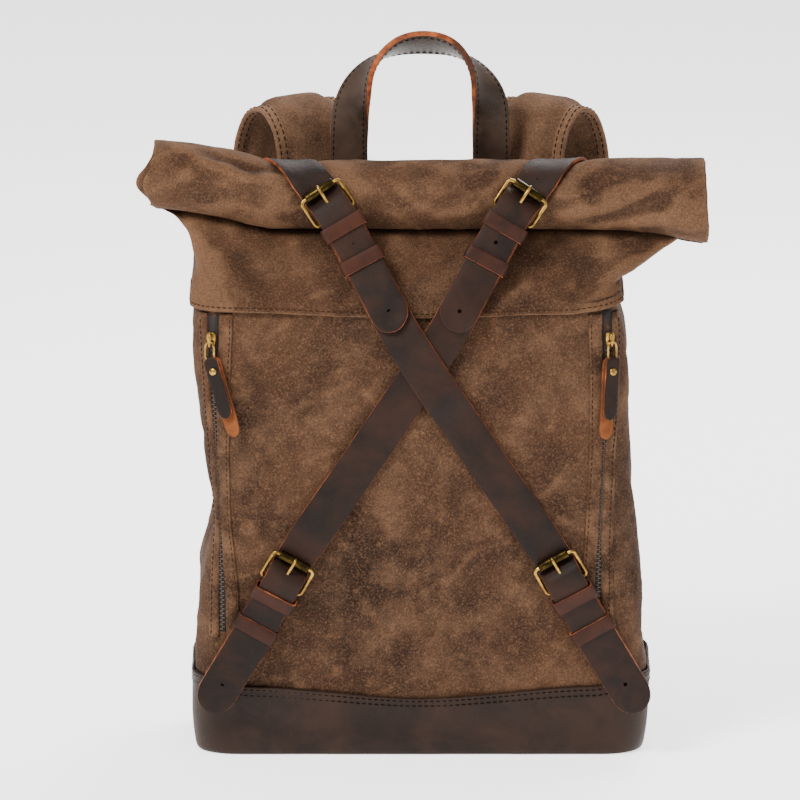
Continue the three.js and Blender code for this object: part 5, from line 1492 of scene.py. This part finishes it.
def shoulder_strap(name, mirror):
    rows = np.array(PAD_LINE, float)
    rows[:, 0] *= mirror
    p, marks, _ = curve_points(rows[:, :3], 2.2)
    yaw = np.radians(spline_rows(rows, marks)[:, 3])
    ahead = unit(np.gradient(p, axis=0))
    wanted = np.stack([np.cos(yaw), -mirror * np.sin(yaw), 0 * yaw], -1)
    across = unit(wanted - ahead * (wanted * ahead).sum(-1, keepdims=True))
    out = np.cross(ahead, across)
    t = marks / (len(rows) - 1)
    half = PAD_HALF * mix(1, 0.7, smooth((t - 0.85) / 0.15))
    thick = mix(0.62, 1, smooth(t / 0.2)) * mix(1, 0.6, smooth((t - 0.9) / 0.1))
    right = np.array(PAD_ACROSS)
    # The section's back from left to right, then its front from right to left.
    share = np.concatenate([-right[-2::-1], [0], right[:-1], right[::-1], [0], -right])
    stand = pad_shape(share) * np.repeat([-1, 1], [2 * len(right) - 1, 2 * len(right) + 1])
    grid = p[:, None] + across[:, None] * (share * half[:, None])[..., None]
    grid = grid + out[:, None] * (stand * thick[:, None])[..., None]
    count, cols = grid.shape[:2]
    flat = grid.reshape(-1, 3)
    soft = wobble(flat, 26, 5.0) * 0.6 + wobble(flat, 9, 2.0) * 0.2
    flat = flat + unit(flat - np.repeat(p, cols, 0)) * soft[:, None]
    bound = np.tile(np.abs(share) > 0.74, count)
    wear = smooth((wobble(flat, 20, 6.0) - 0.1) / 0.5) * 0.3 + 0.45 * bound
    strap = f"shoulder_strap_{name}"
    obj = dress(strap, "cloth", flat, tube_faces(count, cols), [CANVAS_PAD], "canvas", wear=wear)
    runs = []
    for way in (-1, 1):
        for side in (-1, 1):
            for seam in (0.79, 0.93):
                height = ((pad_shape(seam) + 0.05) * thick)[:, None]
                line = p + across * (way * seam * half)[:, None] + out * side * height
                runs.append((line, out * side))
    add_stitches(f"{strap}_stitches", runs, THREAD_DARK, 3.4, 0.8, 1.2)


def lower_webbing(name, mirror):
    rows = np.array(WEBBING_LINE, float)
    rows[:, 0] *= mirror
    p, _, _ = curve_points(rows, 1.5)
    ahead = unit(np.gradient(p, axis=0))
    across = unit(np.array([1.0, 0, 0]) - ahead * ahead[:, :1])
    grid, _ = sweep_flat(p, across, np.full(len(p), 25.0), 1.8, 0.1, 0.4)
    faces, _ = flat_faces(grid)
    dress(f"webbing_{name}", "tape", grid, faces, [TAPE], "webbing")
    k = int(len(p) * 0.55)
    adjuster(name, (p[k], across[k], ahead[k], np.cross(across[k], ahead[k])))


def adjuster(name, basis):
    """A wire loop with a bar across it, round the webbing."""
    half, long, corner = 14.3, 5.5, 2
    loop = []
    for cx, cy, angles in corner_arcs(-half, half, -long, long, corner, 7):
        loop += [(cx + corner * math.cos(a), cy + corner * math.sin(a), 1.4) for a in angles]
    bar = [(-half + 1, 0, -1.6), (-half / 2, 0, -1.7), (half / 2, 0, -1.7), (half - 1, 0, -1.6)]
    wires = [wire_mesh(loop, 1.4, (0, 0, 1), True, 12), wire_mesh(bar, 1.2, (0, 0, 1), False, 12)]
    verts, faces = join_grids(wires)
    dress(f"adjuster_{name}", "metal", place(verts, basis), faces, [BRASS], "brass")


# Seams


def ring_run(points, normals, lift):
    p = np.vstack([points, points[:1]])
    n = np.vstack([normals, normals[:1]])
    return p + n * lift, n


def all_seams():
    runs = []
    for level in (4.72, 4.3):
        ring, normals = base_ring(level)
        runs.append(ring_run(base_dip(ring), normals, 0.15))
    add_stitches("base_stitches", runs, THREAD_DARK, 3.0, 0.8, 1.1)
    runs = []
    zs = np.linspace(ZIP_BOTTOM - 2, ZIP_TOP + 3, 90)
    for name, mirror in SIDES:
        for way, away, lift in ((-mirror, 7.4, 1.3), (mirror, 5.6, 1.55)):
            x = along_body(zip_x(name, mirror, zs), zs, way * (slit(zs) + away))
            runs.append(on_body(x, zs, lift))
    add_stitches("placket_stitches", runs, THREAD, 2.8, 0.75, 1.0)
    add_stitches("hem_stitches", [hem_run()], THREAD, 2.8, 0.75, 1.0)


# Camera, light and floor

PHOTO_MM_PER_PIXEL = 0.655
PHOTO_PIXELS = 800
# The photograph's column of the bag's middle, and its row of the base's lower edge.
MIDDLE_COLUMN, BASE_ROW = 421, 757
ELEVATION = math.radians(12)
DISTANCE = 9.0
# The photograph's middle, seen on the bag's front plane.
AIM_X = (PHOTO_PIXELS / 2 - MIDDLE_COLUMN) * PHOTO_MM_PER_PIXEL * MM
AIM_Z = ((BASE_ROW - PHOTO_PIXELS / 2) * PHOTO_MM_PER_PIXEL) / math.cos(ELEVATION) * MM
FRONT_Y = -0.060


def camera():
    data = bpy.data.cameras.new("photo_camera")
    data.sensor_width = 36
    width = PHOTO_PIXELS * PHOTO_MM_PER_PIXEL * MM
    data.lens = 36 * DISTANCE / width
    data.clip_end = 50
    obj = bpy.data.objects.new("photo_camera", data)
    bpy.context.scene.collection.objects.link(obj)
    back = Vector((0, -math.cos(ELEVATION), math.sin(ELEVATION)))
    aim = Vector((AIM_X, FRONT_Y, AIM_Z))
    obj.location = aim + back * DISTANCE
    obj.rotation_mode = "QUATERNION"
    obj.rotation_quaternion = (-back).to_track_quat("-Z", "Y")
    bpy.context.scene.camera = obj


def area_light(name, place, aim, size, power, color=(1, 1, 1)):
    data = bpy.data.lights.new(name, "AREA")
    data.shape = "DISK"
    data.size = size
    data.energy = power
    data.color = color
    obj = bpy.data.objects.new(name, data)
    bpy.context.scene.collection.objects.link(obj)
    obj.location = place
    obj.rotation_mode = "QUATERNION"
    obj.rotation_quaternion = (Vector(aim) - Vector(place)).to_track_quat("-Z", "Y")


def floor_material():
    """White paper that gives some light itself, so that it stays pale around the bag."""
    s = Shader("floor_white")
    glow = {"Emission_Color": (1, 1, 1, 1), "Emission_Strength": 1.7, "Specular_IOR_Level": 0.1}
    return s.finish((0.9, 0.9, 0.9, 1), 0.9, None, **glow)


def studio():
    world = bpy.data.worlds.new("studio")
    world.use_nodes = True
    world.node_tree.nodes["Background"].inputs["Color"].default_value = (1, 1, 1, 1)
    world.node_tree.nodes["Background"].inputs["Strength"].default_value = 0.7
    bpy.context.scene.world = world
    area_light("key", (-1.3, -1.5, 2.2), (0, 0, 0.2), 1.0, 108, (1.0, 0.98, 0.95))
    area_light("fill", (1.7, -1.6, 1.0), (0, 0, 0.2), 1.4, 12)
    area_light("rim", (0.5, 1.3, 1.7), (0, 0, 0.3), 1.2, 50)
    bpy.ops.mesh.primitive_plane_add(size=12, location=(0, 0, 0))
    floor = bpy.context.object
    floor.name = "floor"
    floor.data.materials.append(floor_material())


canvas_body()
roll_top_collar()
leather_base()
all_straps()
all_zips()
carry_handle()
for side_name, side_mirror in SIDES:
    shoulder_strap(side_name, side_mirror)
    lower_webbing(side_name, side_mirror)
all_seams()
camera()
studio()
